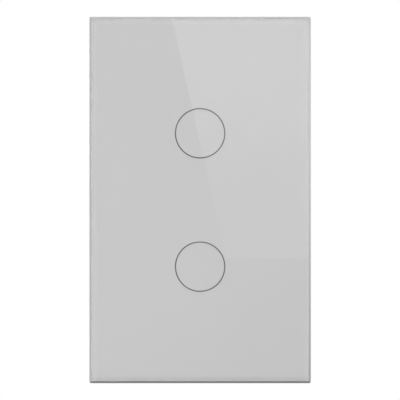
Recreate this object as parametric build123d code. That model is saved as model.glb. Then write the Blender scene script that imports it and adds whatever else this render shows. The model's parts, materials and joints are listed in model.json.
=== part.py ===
"""Two-gang touch-glass smart light switch for a single-gang wall box.

A removable panel of back-printed glass snaps over a steel-yoked base. Behind the wall
surface a plastic housing holds the power board, two relays and the wire terminals.

X runs to the right as seen from the room, Y into the wall and Z up. Y = 0 is the wall
surface, where the back of the yoke rests, and the origin is midway between the two
wall-screw slots. Sizes are in millimetres.
"""

from build123d import *
from math import cos, radians, sin
import os

# Glass panel and its back print
PANEL_WIDTH = 72.5
PANEL_HEIGHT = 120.0
GLASS_THICKNESS = 4.0
GLASS_BEVEL = 0.7
GLASS_CORNER_RADIUS = 0.5
PRINT_THICKNESS = 0.08
PRIMER_THICKNESS = 0.02
PRINT_MARGIN = 0.3
RING_DIAMETER = 16.2
RING_LINE_WIDTH = 0.4
RING_SPACING = 43.8
RING_FIT = 0.02

# Plastic carrier that is taped to the glass
TAPE_THICKNESS = 0.3
TAPE_MARGIN = 0.8
CARRIER_INSET = 0.5
CARRIER_PLATE = 1.4
CARRIER_SKIRT = 1.6
CARRIER_CORNER_RADIUS = 1.2
CARRIER_BACK_ROUND = 0.4
CARRIER_WALL_GAP = 0.8
CARRIER_BOARD_LAP = 2.0
LOCATING_RIB_HEIGHT = 0.3
LOCATING_RIB_LENGTH = 6.0
LOCATING_RIB_SPACING = 36.0
PRY_NOTCH_WIDTH = 12.0
PRY_NOTCH_DEPTH = 1.6

# Steel yoke
YOKE_WIDTH = 58.0
YOKE_HEIGHT = 104.0
YOKE_THICKNESS = 1.2
YOKE_CORNER_RADIUS = 3.0
WALL_SCREW_SPACING = 83.34
WALL_SLOT_WIDTH = 4.2
WALL_SLOT_LENGTH = 7.0
YOKE_WINDOW_RADIUS = 2.0

# Front frame
FRAME_CLEARANCE = 0.4
FRAME_FLOOR = 1.2
FRAME_RIM = 1.5
FRAME_LIP_DEPTH = 0.9
YOKE_POCKET_GAP = 0.3
PANEL_SEAT_GAP = 0.1
SCREW_WINDOW_WIDTH = 12.0
SCREW_WINDOW_MARGIN = 2.5
FLOOR_OPENING_MARGIN = 1.0
HOLD_POST_RADIUS = 1.5
HOLD_POST_MARGIN = 1.3
HOLD_POST_SPACING = 28.0
CONTACT_GAP = 0.1

# Spring clips that hold the panel
CLIP_THICKNESS = 0.3
CLIP_WIDTH = 7.0
CLIP_SPACING = 80.0
CLIP_GAP = 0.05
CLIP_BITE = 0.3
CLIP_BUMP_LENGTH = 1.8
CLIP_GROOVE_DEPTH = 0.5
CLIP_GROOVE_MARGIN = 0.2
CLIP_LEG_LENGTH = 2.2

# Touch board
TOUCH_BOARD_WIDTH = 54.0
TOUCH_BOARD_BORDER = 4.0
TOUCH_BOARD_THICKNESS = 1.0
TOUCH_BOARD_RADIUS = 1.0
TOUCH_ROOM = 2.7
BOARD_POST_HEIGHT = 0.8
BOARD_POST_RADIUS = 2.2
BOARD_SCREW_RADIUS = 0.9
BOARD_SCREW_HEAD_RADIUS = 1.7
BOARD_SCREW_HEAD_HEIGHT = 0.7
BOARD_SCREW_INSET = 2.8
BOARD_SCREW_SPACING = 20.0
SCREW_FIT = 0.05

# Touch electrodes, ring lights and small parts
SPRING_RADIUS = 3.2
SPRING_WIRE = 0.4
SPRING_TURNS = 2.5
GUIDE_HALF_WIDTH = 1.2
GUIDE_GROOVE_HALF_WIDTH = 0.8
LEDS_PER_RING = 4
LED_LENGTH = 1.6
LED_WIDTH = 0.8
LED_HEIGHT = 0.6
LED_ROOM = 0.2
FIRST_LED_ANGLE = 45.0
CONTROLLER_WIDTH = 9.9
CONTROLLER_DEPTH = 3.9
CONTROLLER_HEIGHT = 1.5
CONTROLLER_LEGS = 7
PASSIVE_PITCH = 3.2
PASSIVE_GAP = 3.2
CHIP_LEG_WIDTH = 0.4
CHIP_LEG_REACH = 1.0
CHIP_LEG_PITCH = 1.27
CHIP_LEG_HEIGHT = 0.5
CHIP_STAND = 0.12
RADIO_WIDTH = 16.0
RADIO_LENGTH = 22.0
RADIO_BOARD_THICKNESS = 0.8
RADIO_ANTENNA_LENGTH = 6.0
SHIELD_MARGIN = 1.0
SHIELD_HEIGHT = 2.0
SHIELD_WALL = 0.2

# Board-to-board connector
HEADER_Z = -9.0
HEADER_COLUMNS = 4
HEADER_PITCH = 2.54
HEADER_INSULATOR = 2.5
HEADER_PIN = 0.64
HEADER_PIN_GAP = 0.05
HEADER_MATING_GAP = 0.3
SOCKET_HEIGHT = 5.0
SOCKET_DEPTH = 3.6

# Power board and housing
POWER_BOARD_THICKNESS = 1.6
POWER_BOARD_SIDE_MARGIN = 4.9
POWER_BOARD_END_MARGIN = 0.4
BOARD_EDGE_GAP = 0.4
ROW_GAP = 0.8
STEP_GAP = 0.4
LEAD_GAP = 0.1
LEAD_TAIL = 0.9
HOUSING_WALL = 1.8
HOUSING_CORNER_RADIUS = 3.0
HOUSING_BACK_ROUND = 1.0
HOUSING_STEP_ROUND = 0.6
BACK_ROOM = 2.4
SUPPORT_RIB_WIDTH = 3.0
SUPPORT_RIB_REACH = 1.6
SUPPORT_RIB_SPACING = 36.0
VENT_WIDTH = 1.4
VENT_LENGTH = 9.0
VENT_PITCH = 4.0
VENTS_PER_ROW = 6
LABEL_RECESS_WIDTH = 30.0
LABEL_RECESS_HEIGHT = 22.0
LABEL_RECESS_DEPTH = 0.3

# Case screws and their bosses
CASE_SCREW_RADIUS = 1.3
CASE_SCREW_HEAD_RADIUS = 2.5
CASE_SCREW_LENGTH = 14.0
BOSS_RADIUS = 2.6
BOSS_SINK = 0.6
BOSS_END_WALL = 1.6
BOSS_TIP_ROOM = 0.8
YOKE_SCREW_GAP = 0.3

# Wire terminals
POLES = 4
POLE_PITCH = 7.5
BLOCK_DEPTH = 10.6
BLOCK_END_WALL = 0.4
BLOCK_ENTRY_WALL = 1.4
BLOCK_ROOF = 0.8
CAGE_WIDTH = 5.4
CAGE_LENGTH = 6.0
CAGE_WALL = 0.9
CAGE_TOP = 1.4
CAGE_GAP = 0.2
CAGE_BOARD_GAP = 0.6
WIRE_ROOM = 3.2
WIRE_ENTRY_WIDTH = 3.8
WIRE_ENTRY_FUNNEL = 0.6
CLAMP_TRAVEL = 2.4
BAR_WIDTH = 3.0
BAR_THICKNESS = 0.8
BAR_TOP_GAP = 0.6
TERMINAL_SCREW_RADIUS = 1.5
TERMINAL_HEAD_RADIUS = 2.1
TERMINAL_HEAD_HEIGHT = 1.8
DRIVER_SLOT_WIDTH = 0.8
DRIVER_SLOT_DEPTH = 0.9
BARRIER_WIDTH = 0.9
BARRIER_HEIGHT = 2.2

# Relays
RELAY_WIDTH = 15.4
RELAY_LENGTH = 19.2
RELAY_HEIGHT = 15.2
RELAY_GAP = 1.0
RELAY_WALL = 0.8
RELAY_BASE = 1.6
RELAY_FIT = 0.1
IRON_THICKNESS = 1.2
IRON_WIDTH = 9.0
CORE_RADIUS = 1.6
POLE_RADIUS = 3.4
POLE_FACE = 0.8
BOBBIN_FLANGE = 0.7
BOBBIN_WALL = 0.6
BOBBIN_RADIUS = 4.6
WINDING_INSET = 0.4
COIL_OFFSET = 6.0
AIR_GAP = 0.7
HINGE_GAP = 0.1
ARMATURE_THICKNESS = 1.0
ARMATURE_OVERHANG = 0.5
ARMATURE_LENGTH = 11.0
LEAF_THICKNESS = 0.25
LEAF_WIDTH = 4.0
LEAF_LENGTH = 15.9
CONTACT_RADIUS = 1.1
CONTACT_HEIGHT = 0.5
OPEN_CONTACT_GAP = 1.15
CONTACT_ARM = 14.6
BLADE_THICKNESS = 0.6
LEAD_RADIUS = 0.4

# Transformer
TRANSFORMER_LENGTH = 15.0
CORE_WIDTH = 13.0
CORE_HEIGHT = 12.0
CORE_DEPTH = 6.0
CORE_LEG = 3.0
CORE_SIDE_LEG = 2.2
CORE_BRIDGE = 2.2
BOBBIN_RAIL_HEIGHT = 2.6
BOBBIN_RAIL_DEPTH = 2.8
BOBBIN_FIT = 0.1
WINDING_GAP = 0.25

# Other parts on the power board
BULK_RADIUS = 4.0
BULK_HEIGHT = 13.0
CAN_GROOVE_DEPTH = 0.35
CAN_GROOVE_START = 1.05
CAN_GROOVE_WIDTH = 0.7
CAN_ROUND = 0.6
OUTPUT_RADIUS = 3.15
OUTPUT_HEIGHT = 11.0
FILTER_WIDTH = 13.0
FILTER_DEPTH = 5.0
FILTER_HEIGHT = 11.0
VARISTOR_RADIUS = 4.5
VARISTOR_THICKNESS = 3.6
VARISTOR_STAND = 1.4
FUSE_WIDTH = 8.4
FUSE_DEPTH = 4.2
FUSE_HEIGHT = 7.6
PART_GAP = 0.8
BOX_ROUND = 0.5
RECTIFIER_WIDTH = 4.8
RECTIFIER_DEPTH = 4.0
RECTIFIER_HEIGHT = 1.5
RECTIFIER_LEGS = 2
CONVERTER_WIDTH = 4.9
CONVERTER_DEPTH = 3.9
CONVERTER_HEIGHT = 1.5
CONVERTER_LEGS = 4
FRONT_CHIP_SPREAD = 6.0

# Levels along Y, from the wall surface towards the room
YOKE_FRONT = -YOKE_THICKNESS
FLOOR_FRONT = YOKE_FRONT - FRAME_FLOOR
TOUCH_BACK = FLOOR_FRONT - BOARD_POST_HEIGHT
TOUCH_FRONT = TOUCH_BACK - TOUCH_BOARD_THICKNESS
PRINT_BACK = TOUCH_FRONT - TOUCH_ROOM
PRINT_FRONT = PRINT_BACK - PRINT_THICKNESS
GLASS_BACK = PRINT_FRONT - PRIMER_THICKNESS
GLASS_FRONT = GLASS_BACK - GLASS_THICKNESS
PLATE_FRONT = PRINT_BACK + TAPE_THICKNESS
PLATE_BACK = PLATE_FRONT + CARRIER_PLATE
RIM_FRONT = PLATE_BACK + PANEL_SEAT_GAP
SKIRT_EDGE = -CARRIER_WALL_GAP

# Levels along Y, from the wall surface into the wall
POWER_FRONT = TOUCH_BACK + HEADER_INSULATOR + HEADER_MATING_GAP + SOCKET_HEIGHT
POWER_BACK = POWER_FRONT + POWER_BOARD_THICKNESS
CAGE_FRONT = POWER_BACK + CAGE_BOARD_GAP
WIRE_FRONT = CAGE_FRONT + CAGE_WALL
BAR_FRONT = WIRE_FRONT + WIRE_ROOM
BAR_BACK = BAR_FRONT + BAR_THICKNESS
CAGE_TOP_FRONT = BAR_BACK + BAR_TOP_GAP
CAGE_BACK = CAGE_TOP_FRONT + CAGE_TOP
ROOF_FRONT = CAGE_BACK + CLAMP_TRAVEL + CAGE_GAP
ROOF_BACK = ROOF_FRONT + BLOCK_ROOF
HEAD_FRONT = ROOF_BACK + CONTACT_GAP
HEAD_BACK = HEAD_FRONT + TERMINAL_HEAD_HEIGHT
BLOCK_BACK = HEAD_BACK + STEP_GAP
TALLEST_PART = max(RELAY_HEIGHT, BULK_HEIGHT, OUTPUT_HEIGHT, FILTER_HEIGHT, FUSE_HEIGHT, CORE_HEIGHT)
BAY_INSIDE = BLOCK_BACK + STEP_GAP
BAY_OUTSIDE = BAY_INSIDE + HOUSING_WALL
HOUSING_INSIDE = max(POWER_BACK + TALLEST_PART + BACK_ROOM, BAY_INSIDE + BARRIER_HEIGHT)
HOUSING_OUTSIDE = HOUSING_INSIDE + HOUSING_WALL

# Rows of parts on the power board, from its lower end up
TOP_ROW_DEPTH = max(2 * OUTPUT_RADIUS, FILTER_DEPTH, VARISTOR_THICKNESS) + PART_GAP + FUSE_DEPTH
POWER_BOARD_HEIGHT = (
    2 * POWER_BOARD_END_MARGIN
    + BLOCK_DEPTH
    + HOUSING_WALL
    + 2 * STEP_GAP
    + RELAY_LENGTH
    + ROW_GAP
    + TRANSFORMER_LENGTH
    + ROW_GAP
    + TOP_ROW_DEPTH
    + 2 * ROW_GAP
)
POWER_BOARD_WIDTH = 2 * RELAY_WIDTH + RELAY_GAP + 2 * POWER_BOARD_SIDE_MARGIN
INSIDE_HALF_WIDTH = POWER_BOARD_WIDTH / 2 + BOARD_EDGE_GAP
INSIDE_HALF_HEIGHT = POWER_BOARD_HEIGHT / 2 + BOARD_EDGE_GAP
HOUSING_WIDTH = 2 * (INSIDE_HALF_WIDTH + HOUSING_WALL)
HOUSING_HEIGHT = 2 * (INSIDE_HALF_HEIGHT + HOUSING_WALL)
BLOCK_BOTTOM = -INSIDE_HALF_HEIGHT + CAGE_GAP
BLOCK_TOP = BLOCK_BOTTOM + BLOCK_DEPTH
BAY_TOP = BLOCK_TOP + STEP_GAP
RELAY_BOTTOM = BAY_TOP + HOUSING_WALL + STEP_GAP
RELAY_TOP = RELAY_BOTTOM + RELAY_LENGTH
TRANSFORMER_BOTTOM = RELAY_TOP + ROW_GAP
TOP_ROW_BOTTOM = TRANSFORMER_BOTTOM + TRANSFORMER_LENGTH + ROW_GAP
RELAY_X = (RELAY_WIDTH + RELAY_GAP) / 2
TRANSFORMER_X = -RELAY_X
TRANSFORMER_Z = TRANSFORMER_BOTTOM + TRANSFORMER_LENGTH / 2
BULK_X = RELAY_X
BULK_Z = TRANSFORMER_BOTTOM + BULK_RADIUS
FRONT_CHIP_Z = BULK_Z + BULK_RADIUS + max(RECTIFIER_DEPTH, CONVERTER_DEPTH) / 2 + CHIP_LEG_REACH

# Outlines shared by neighbouring pieces
CARRIER_WIDTH = PANEL_WIDTH - 2 * CARRIER_INSET
CARRIER_HEIGHT = PANEL_HEIGHT - 2 * CARRIER_INSET
SKIRT_INSIDE_WIDTH = CARRIER_WIDTH - 2 * CARRIER_SKIRT
SKIRT_INSIDE_HEIGHT = CARRIER_HEIGHT - 2 * CARRIER_SKIRT
FRAME_WIDTH = SKIRT_INSIDE_WIDTH - 2 * FRAME_CLEARANCE
FRAME_HEIGHT = SKIRT_INSIDE_HEIGHT - 2 * FRAME_CLEARANCE
TOUCH_BOARD_HEIGHT = RING_SPACING + RING_DIAMETER + 2 * TOUCH_BOARD_BORDER
PLATE_WINDOW_WIDTH = TOUCH_BOARD_WIDTH - 2 * CARRIER_BOARD_LAP
PLATE_WINDOW_HEIGHT = TOUCH_BOARD_HEIGHT - 2 * CARRIER_BOARD_LAP
HEADER_WIDTH = HEADER_COLUMNS * HEADER_PITCH
HEADER_DEPTH = 2 * HEADER_PITCH
RADIO_BOTTOM = HEADER_Z + HEADER_DEPTH / 2 + 2 * FLOOR_OPENING_MARGIN
RADIO_TOP = RADIO_BOTTOM + RADIO_LENGTH
OPENING_HALF_WIDTH = max(RADIO_WIDTH, HEADER_WIDTH) / 2 + FLOOR_OPENING_MARGIN
OPENING_BOTTOM = HEADER_Z - HEADER_DEPTH / 2 - FLOOR_OPENING_MARGIN
OPENING_TOP = RADIO_TOP + FLOOR_OPENING_MARGIN
HOLD_POST_X = OPENING_HALF_WIDTH + HOLD_POST_MARGIN + HOLD_POST_RADIUS
YOKE_WINDOW_HALF_WIDTH = HOLD_POST_X + HOLD_POST_RADIUS + HOLD_POST_MARGIN
YOKE_WINDOW_BOTTOM = min(OPENING_BOTTOM, -HOLD_POST_SPACING / 2 - HOLD_POST_RADIUS) - HOLD_POST_MARGIN
YOKE_WINDOW_TOP = max(OPENING_TOP, HOLD_POST_SPACING / 2 + HOLD_POST_RADIUS) + HOLD_POST_MARGIN
BOSS_X = INSIDE_HALF_WIDTH - BOSS_RADIUS + BOSS_SINK
BOSS_Z = INSIDE_HALF_HEIGHT - BOSS_RADIUS + BOSS_SINK
CASE_SCREW_TIP = FLOOR_FRONT + CASE_SCREW_LENGTH
BOSS_BACK = CASE_SCREW_TIP + BOSS_TIP_ROOM + BOSS_END_WALL

# Places of repeated pieces, as X and Z
RING_CENTRES = {"upper": RING_SPACING / 2, "lower": -RING_SPACING / 2}
RELAY_CENTRES = {"left": -RELAY_X, "right": RELAY_X}
POLE_CENTRES = [(i - (POLES - 1) / 2) * POLE_PITCH for i in range(POLES)]
CASE_SCREW_PLACES = [(x, z) for x in (-BOSS_X, BOSS_X) for z in (-BOSS_Z, BOSS_Z)]
BOARD_SCREW_X = TOUCH_BOARD_WIDTH / 2 - BOARD_SCREW_INSET
BOARD_SCREW_ROWS = (-BOARD_SCREW_SPACING / 2, BOARD_SCREW_SPACING / 2)
HOLD_POST_ROWS = (-HOLD_POST_SPACING / 2, HOLD_POST_SPACING / 2)
WALL_SCREW_ROWS = (-WALL_SCREW_SPACING / 2, WALL_SCREW_SPACING / 2)
BOARD_SCREW_PLACES = [(x, z) for x in (-BOARD_SCREW_X, BOARD_SCREW_X) for z in BOARD_SCREW_ROWS]
HOLD_POST_PLACES = [(x, z) for x in (-HOLD_POST_X, HOLD_POST_X) for z in HOLD_POST_ROWS]
CAGE_BOTTOM = BLOCK_BOTTOM + BLOCK_ENTRY_WALL + CAGE_GAP
CAGE_Z = CAGE_BOTTOM + CAGE_LENGTH / 2
BAR_LEG_Z = CAGE_BOTTOM + CAGE_LENGTH + CAGE_GAP + BAR_THICKNESS


# Helpers


def block(x0, x1, y0, y1, z0, z1):
    """A box between two corners."""
    place = Pos((x0 + x1) / 2, (y0 + y1) / 2, (z0 + z1) / 2)
    return place * Box(x1 - x0, y1 - y0, z1 - z0)


def slab(outline, front, back):
    """An outline drawn in X and Z, made solid between two levels of Y."""
    return extrude(Plane.XZ.offset(-back) * outline, back - front)


def rod(x, z, radius, front, back):
    """A round bar along Y."""
    return slab(Pos(x, z) * Circle(radius), front, back)


def tube(x, z, outer, inner, front, back):
    """A round tube along Y."""
    return slab(Pos(x, z) * (Circle(outer) - Circle(inner)), front, back)


def rods(places, radius, front, back):
    """The same round bar at several places, as a list of solids."""
    return [rod(x, z, radius, front, back) for x, z in places]


def rounded(width, height, radius, x=0, z=0):
    """A rectangle with rounded corners, drawn in X and Z."""
    return Pos(x, z) * RectangleRounded(width, height, radius)


def leads(places, top):
    """Wire leads from a part's foot through the power board, a tail beyond its face."""
    return rods(places, LEAD_RADIUS, POWER_FRONT - LEAD_TAIL, top)


def save(name, shape):
    """Writes one node as a STEP file."""
    pieces = shape if isinstance(shape, list) else [shape]
    solids = [s for piece in pieces for s in piece.solids()]
    made = solids[0] if len(solids) == 1 else Compound(solids)
    made.label = name
    export_step(made, f"parts/{name}.step")


# Glass panel, print and ring marks


def glass_panel():
    """Toughened glass with ground bevels on its room-side edges and eased corners."""
    glass = slab(Rectangle(PANEL_WIDTH, PANEL_HEIGHT), GLASS_FRONT, GLASS_BACK)
    front_edges = glass.faces().sort_by(Axis.Y)[0].edges()
    glass = chamfer(front_edges, GLASS_BEVEL)
    return fillet(glass.edges().filter_by(Axis.Y), GLASS_CORNER_RADIUS)


def ring_outline(fit):
    """The line of one touch ring, narrower by fit on each side."""
    outer = RING_DIAMETER / 2 + RING_LINE_WIDTH / 2 - fit
    inner = RING_DIAMETER / 2 - RING_LINE_WIDTH / 2 + fit
    return Circle(outer) - Circle(inner)


def back_print():
    """Opaque print on the glass's clear primer, left open along both ring lines."""
    radius = GLASS_CORNER_RADIUS
    sheet = rounded(PANEL_WIDTH - 2 * PRINT_MARGIN, PANEL_HEIGHT - 2 * PRINT_MARGIN, radius)
    for z in RING_CENTRES.values():
        sheet -= Pos(0, z) * ring_outline(0)
    return slab(sheet, PRINT_FRONT, PRINT_BACK)


def ring_marks():
    """Dark translucent print that fills both ring lines."""
    return [slab(Pos(0, z) * ring_outline(RING_FIT), PRINT_FRONT, PRINT_BACK) for z in RING_CENTRES.values()]


# Carrier and its tape


def adhesive_frame():
    """Double-sided tape between the print and the carrier's plate."""
    outside = Rectangle(CARRIER_WIDTH - 2 * TAPE_MARGIN, CARRIER_HEIGHT - 2 * TAPE_MARGIN)
    inside = Rectangle(PLATE_WINDOW_WIDTH + 2 * TAPE_MARGIN, PLATE_WINDOW_HEIGHT + 2 * TAPE_MARGIN)
    return slab(outside - inside, PRINT_BACK, PLATE_FRONT)


def clip_groove(side, z):
    """The groove in the skirt that one clip's bump sits in."""
    wall = side * SKIRT_INSIDE_WIDTH / 2
    deep = wall + side * CLIP_GROOVE_DEPTH
    half_z = CLIP_WIDTH / 2 + CLIP_GROOVE_MARGIN
    half_y = CLIP_BUMP_LENGTH / 2 + CLIP_GROOVE_MARGIN
    low_x, high_x = sorted((wall - side * CLIP_GROOVE_DEPTH, deep))
    return block(low_x, high_x, CLIP_BUMP_Y - half_y, CLIP_BUMP_Y + half_y, z - half_z, z + half_z)


def panel_carrier():
    """Tray behind the glass: a plate with a window, a skirt, and grooves for the clips."""
    outline = rounded(CARRIER_WIDTH, CARRIER_HEIGHT, CARRIER_CORNER_RADIUS)
    inside = Rectangle(SKIRT_INSIDE_WIDTH, SKIRT_INSIDE_HEIGHT)
    window = Rectangle(PLATE_WINDOW_WIDTH, PLATE_WINDOW_HEIGHT)
    tray = slab(outline, PLATE_FRONT, SKIRT_EDGE)
    tray = fillet(tray.faces().sort_by(Axis.Y)[-1].edges(), CARRIER_BACK_ROUND)
    tray -= slab(window, PLATE_FRONT, PLATE_BACK)
    tray -= slab(inside, PLATE_BACK, SKIRT_EDGE)
    for end in (-1, 1):
        for x in (-LOCATING_RIB_SPACING / 2, LOCATING_RIB_SPACING / 2):
            wall = end * SKIRT_INSIDE_HEIGHT / 2
            low_z, high_z = sorted((wall - end * LOCATING_RIB_HEIGHT, wall + end * LOCATING_RIB_HEIGHT))
            half = LOCATING_RIB_LENGTH / 2
            tray += block(x - half, x + half, PLATE_BACK, SKIRT_EDGE, low_z, high_z)
    for side, z in CLIP_PLACES:
        tray -= clip_groove(side, z)
    half = PRY_NOTCH_WIDTH / 2
    front = SKIRT_EDGE - PRY_NOTCH_DEPTH
    bottom = -CARRIER_HEIGHT / 2
    top = bottom + CARRIER_SKIRT + FRAME_CLEARANCE
    return tray - block(-half, half, front, SKIRT_EDGE, bottom, top)


# Spring clips

CLIP_PLACES = [(side, z) for side in (-1, 1) for z in (-CLIP_SPACING / 2, CLIP_SPACING / 2)]
CLIP_SEAT_Y = RIM_FRONT + CLIP_THICKNESS + CLIP_GAP
CLIP_POCKET_X = FRAME_WIDTH / 2 - CLIP_THICKNESS - 2 * CLIP_GAP
CLIP_INNER_X = FRAME_WIDTH / 2 - FRAME_RIM
CLIP_BUMP_Y = CLIP_SEAT_Y + CLIP_BUMP_LENGTH / 2 + CLIP_THICKNESS
CLIP_BUMP_X = SKIRT_INSIDE_WIDTH / 2 + CLIP_BITE


def panel_clip(side, z):
    """A folded strip of spring steel over the frame's rim, with a bump for the carrier's groove."""
    thick, gap = CLIP_THICKNESS, CLIP_GAP
    inner = CLIP_INNER_X - gap
    outer = CLIP_POCKET_X + gap
    leg_end = CLIP_SEAT_Y + CLIP_LEG_LENGTH
    bump_start = CLIP_BUMP_Y - CLIP_BUMP_LENGTH / 2
    bump_end = CLIP_BUMP_Y + CLIP_BUMP_LENGTH / 2
    outline = [
        (inner - thick, leg_end),
        (inner - thick, CLIP_SEAT_Y - gap - thick),
        (outer + thick, CLIP_SEAT_Y - gap - thick),
        (outer + thick, bump_start),
        (CLIP_BUMP_X, CLIP_BUMP_Y),
        (outer + thick, bump_end),
        (outer + thick, bump_end + thick),
        (outer, bump_end + thick),
        (outer, bump_end),
        (CLIP_BUMP_X - thick, CLIP_BUMP_Y),
        (outer, bump_start),
        (outer, CLIP_SEAT_Y - gap),
        (inner, CLIP_SEAT_Y - gap),
        (inner, leg_end),
    ]
    section = make_face(Polyline(*[(side * x, y) for x, y in outline], close=True))
    return Pos(0, 0, z - CLIP_WIDTH / 2) * extrude(section, CLIP_WIDTH, dir=(0, 0, 1))


def panel_clips():
    """The four clips that hold the panel on."""
    return [panel_clip(side, z) for side, z in CLIP_PLACES]


# Yoke and front frame


def wall_slots():
    """Outlines of the two upright slots for the wall screws."""
    slot = Rot(0, 0, 90) * SlotOverall(WALL_SLOT_LENGTH, WALL_SLOT_WIDTH)
    return [Pos(0, z) * slot for z in WALL_SCREW_ROWS]


def mounting_yoke():
    """Flat steel strap that rests on the wall and is screwed to the wall box."""
    plate = rounded(YOKE_WIDTH, YOKE_HEIGHT, YOKE_CORNER_RADIUS)
    window_height = YOKE_WINDOW_TOP - YOKE_WINDOW_BOTTOM
    window_z = (YOKE_WINDOW_TOP + YOKE_WINDOW_BOTTOM) / 2
    plate -= rounded(2 * YOKE_WINDOW_HALF_WIDTH, window_height, YOKE_WINDOW_RADIUS, z=window_z)
    for slot in wall_slots():
        plate -= slot
    for x, z in CASE_SCREW_PLACES:
        plate -= Pos(x, z) * Circle(CASE_SCREW_RADIUS + YOKE_SCREW_GAP)
    return slab(plate, YOKE_FRONT, 0)


def front_frame():
    """Moulded frame in front of the yoke: a floor, a rim for the panel and a lip round the yoke."""
    outline = rounded(FRAME_WIDTH, FRAME_HEIGHT, CARRIER_CORNER_RADIUS)
    inside = Rectangle(FRAME_WIDTH - 2 * FRAME_RIM, FRAME_HEIGHT - 2 * FRAME_RIM)
    pocket = rounded(YOKE_WIDTH + 2 * YOKE_POCKET_GAP, YOKE_HEIGHT + 2 * YOKE_POCKET_GAP, YOKE_CORNER_RADIUS)
    frame = slab(outline, FLOOR_FRONT, YOKE_FRONT)
    frame += slab(outline - inside, RIM_FRONT, FLOOR_FRONT)
    frame += slab(outline - pocket, YOKE_FRONT, YOKE_FRONT + FRAME_LIP_DEPTH)
    opening_height = OPENING_TOP - OPENING_BOTTOM
    opening = Pos(0, (OPENING_TOP + OPENING_BOTTOM) / 2) * Rectangle(2 * OPENING_HALF_WIDTH, opening_height)
    frame -= slab(opening, FLOOR_FRONT, YOKE_FRONT)
    window_height = WALL_SLOT_LENGTH + 2 * SCREW_WINDOW_MARGIN
    for z in WALL_SCREW_ROWS:
        window = rounded(SCREW_WINDOW_WIDTH, window_height, SCREW_WINDOW_MARGIN, z=z)
        frame -= slab(window, FLOOR_FRONT, YOKE_FRONT)
    for x, z in BOARD_SCREW_PLACES:
        frame += rod(x, z, BOARD_POST_RADIUS, TOUCH_BACK, FLOOR_FRONT)
        frame -= rod(x, z, BOARD_SCREW_RADIUS + SCREW_FIT, TOUCH_BACK, YOKE_FRONT)
    for x, z in HOLD_POST_PLACES:
        frame += rod(x, z, HOLD_POST_RADIUS, FLOOR_FRONT, POWER_FRONT - CONTACT_GAP)
    for x, z in CASE_SCREW_PLACES:
        frame -= screw_cone(x, z, SCREW_FIT)
    for side, z in CLIP_PLACES:
        frame -= clip_seat(side, z)
    return frame


def clip_seat(side, z):
    """The notch in the rim and the pocket beside it that one clip fits."""
    half_z = CLIP_WIDTH / 2 + CLIP_GROOVE_MARGIN
    inner, outer = sorted((side * (CLIP_INNER_X - FRAME_RIM), side * (FRAME_WIDTH / 2 + FRAME_RIM)))
    notch = block(inner, outer, RIM_FRONT - FRAME_RIM, CLIP_SEAT_Y, z - half_z, z + half_z)
    low_x, high_x = sorted((side * CLIP_POCKET_X, side * (FRAME_WIDTH / 2 + FRAME_RIM)))
    pocket_end = CLIP_BUMP_Y + CLIP_BUMP_LENGTH / 2 + 2 * CLIP_THICKNESS
    return notch + block(low_x, high_x, CLIP_SEAT_Y, pocket_end, z - half_z, z + half_z)


# Screws


def cross_slot(x, z, reach, front, back):
    """The cross recess of a screw head."""
    half = DRIVER_SLOT_WIDTH / 2
    upright = block(x - half, x + half, front, back, z - reach, z + reach)
    return upright + block(x - reach, x + reach, front, back, z - half, z + half)


def screw_cone(x, z, fit):
    """A countersunk head that fills the frame's floor, larger by fit all round."""
    point = CASE_SCREW_RADIUS + fit
    base = CASE_SCREW_HEAD_RADIUS + fit
    cone = loft([
        Plane.XZ.offset(-YOKE_FRONT) * Pos(x, z) * Circle(point),
        Plane.XZ.offset(-FLOOR_FRONT) * Pos(x, z) * Circle(base),
    ])
    return cone


def case_screws():
    """Four countersunk screws that clamp the frame, yoke and housing."""
    made = []
    for x, z in CASE_SCREW_PLACES:
        screw = screw_cone(x, z, 0) + rod(x, z, CASE_SCREW_RADIUS, YOKE_FRONT, CASE_SCREW_TIP)
        slot_back = FLOOR_FRONT + FRAME_FLOOR / 2
        made.append(screw - cross_slot(x, z, CASE_SCREW_RADIUS, FLOOR_FRONT, slot_back))
    return made


def board_screws():
    """Four small screws that hold the touch board to the frame."""
    made = []
    tip = YOKE_FRONT - CONTACT_GAP
    head_front = TOUCH_FRONT - BOARD_SCREW_HEAD_HEIGHT
    for x, z in BOARD_SCREW_PLACES:
        screw = rod(x, z, BOARD_SCREW_RADIUS, TOUCH_FRONT, tip)
        screw += rod(x, z, BOARD_SCREW_HEAD_RADIUS, head_front, TOUCH_FRONT)
        slot_back = head_front + BOARD_SCREW_HEAD_HEIGHT / 2
        made.append(screw - cross_slot(x, z, BOARD_SCREW_RADIUS, head_front, slot_back))
    return made


# Touch board and what stands on it


def touch_board():
    """Circuit board behind the glass, with holes for its screws."""
    outline = rounded(TOUCH_BOARD_WIDTH, TOUCH_BOARD_HEIGHT, TOUCH_BOARD_RADIUS)
    for x, z in BOARD_SCREW_PLACES:
        outline -= Pos(x, z) * Circle(BOARD_SCREW_RADIUS + YOKE_SCREW_GAP)
    for x, z in header_pin_places():
        outline -= Pos(x, z) * Rectangle(HEADER_PIN + 2 * HEADER_PIN_GAP, HEADER_PIN + 2 * HEADER_PIN_GAP)
    return slab(outline, TOUCH_FRONT, TOUCH_BACK)


def touch_spring(z):
    """Coil of plated wire that carries the touch signal from the print's back to the board."""
    climb = TOUCH_ROOM - SPRING_WIRE
    helix = Helix(pitch=climb / SPRING_TURNS, height=climb, radius=SPRING_RADIUS)
    start = helix @ 0
    direction = helix % 0
    coil = sweep(Plane(origin=start, z_dir=direction) * Circle(SPRING_WIRE / 2), path=helix)
    return Pos(0, TOUCH_FRONT - SPRING_WIRE / 2, z) * Rot(90, 0, 0) * coil


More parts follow.
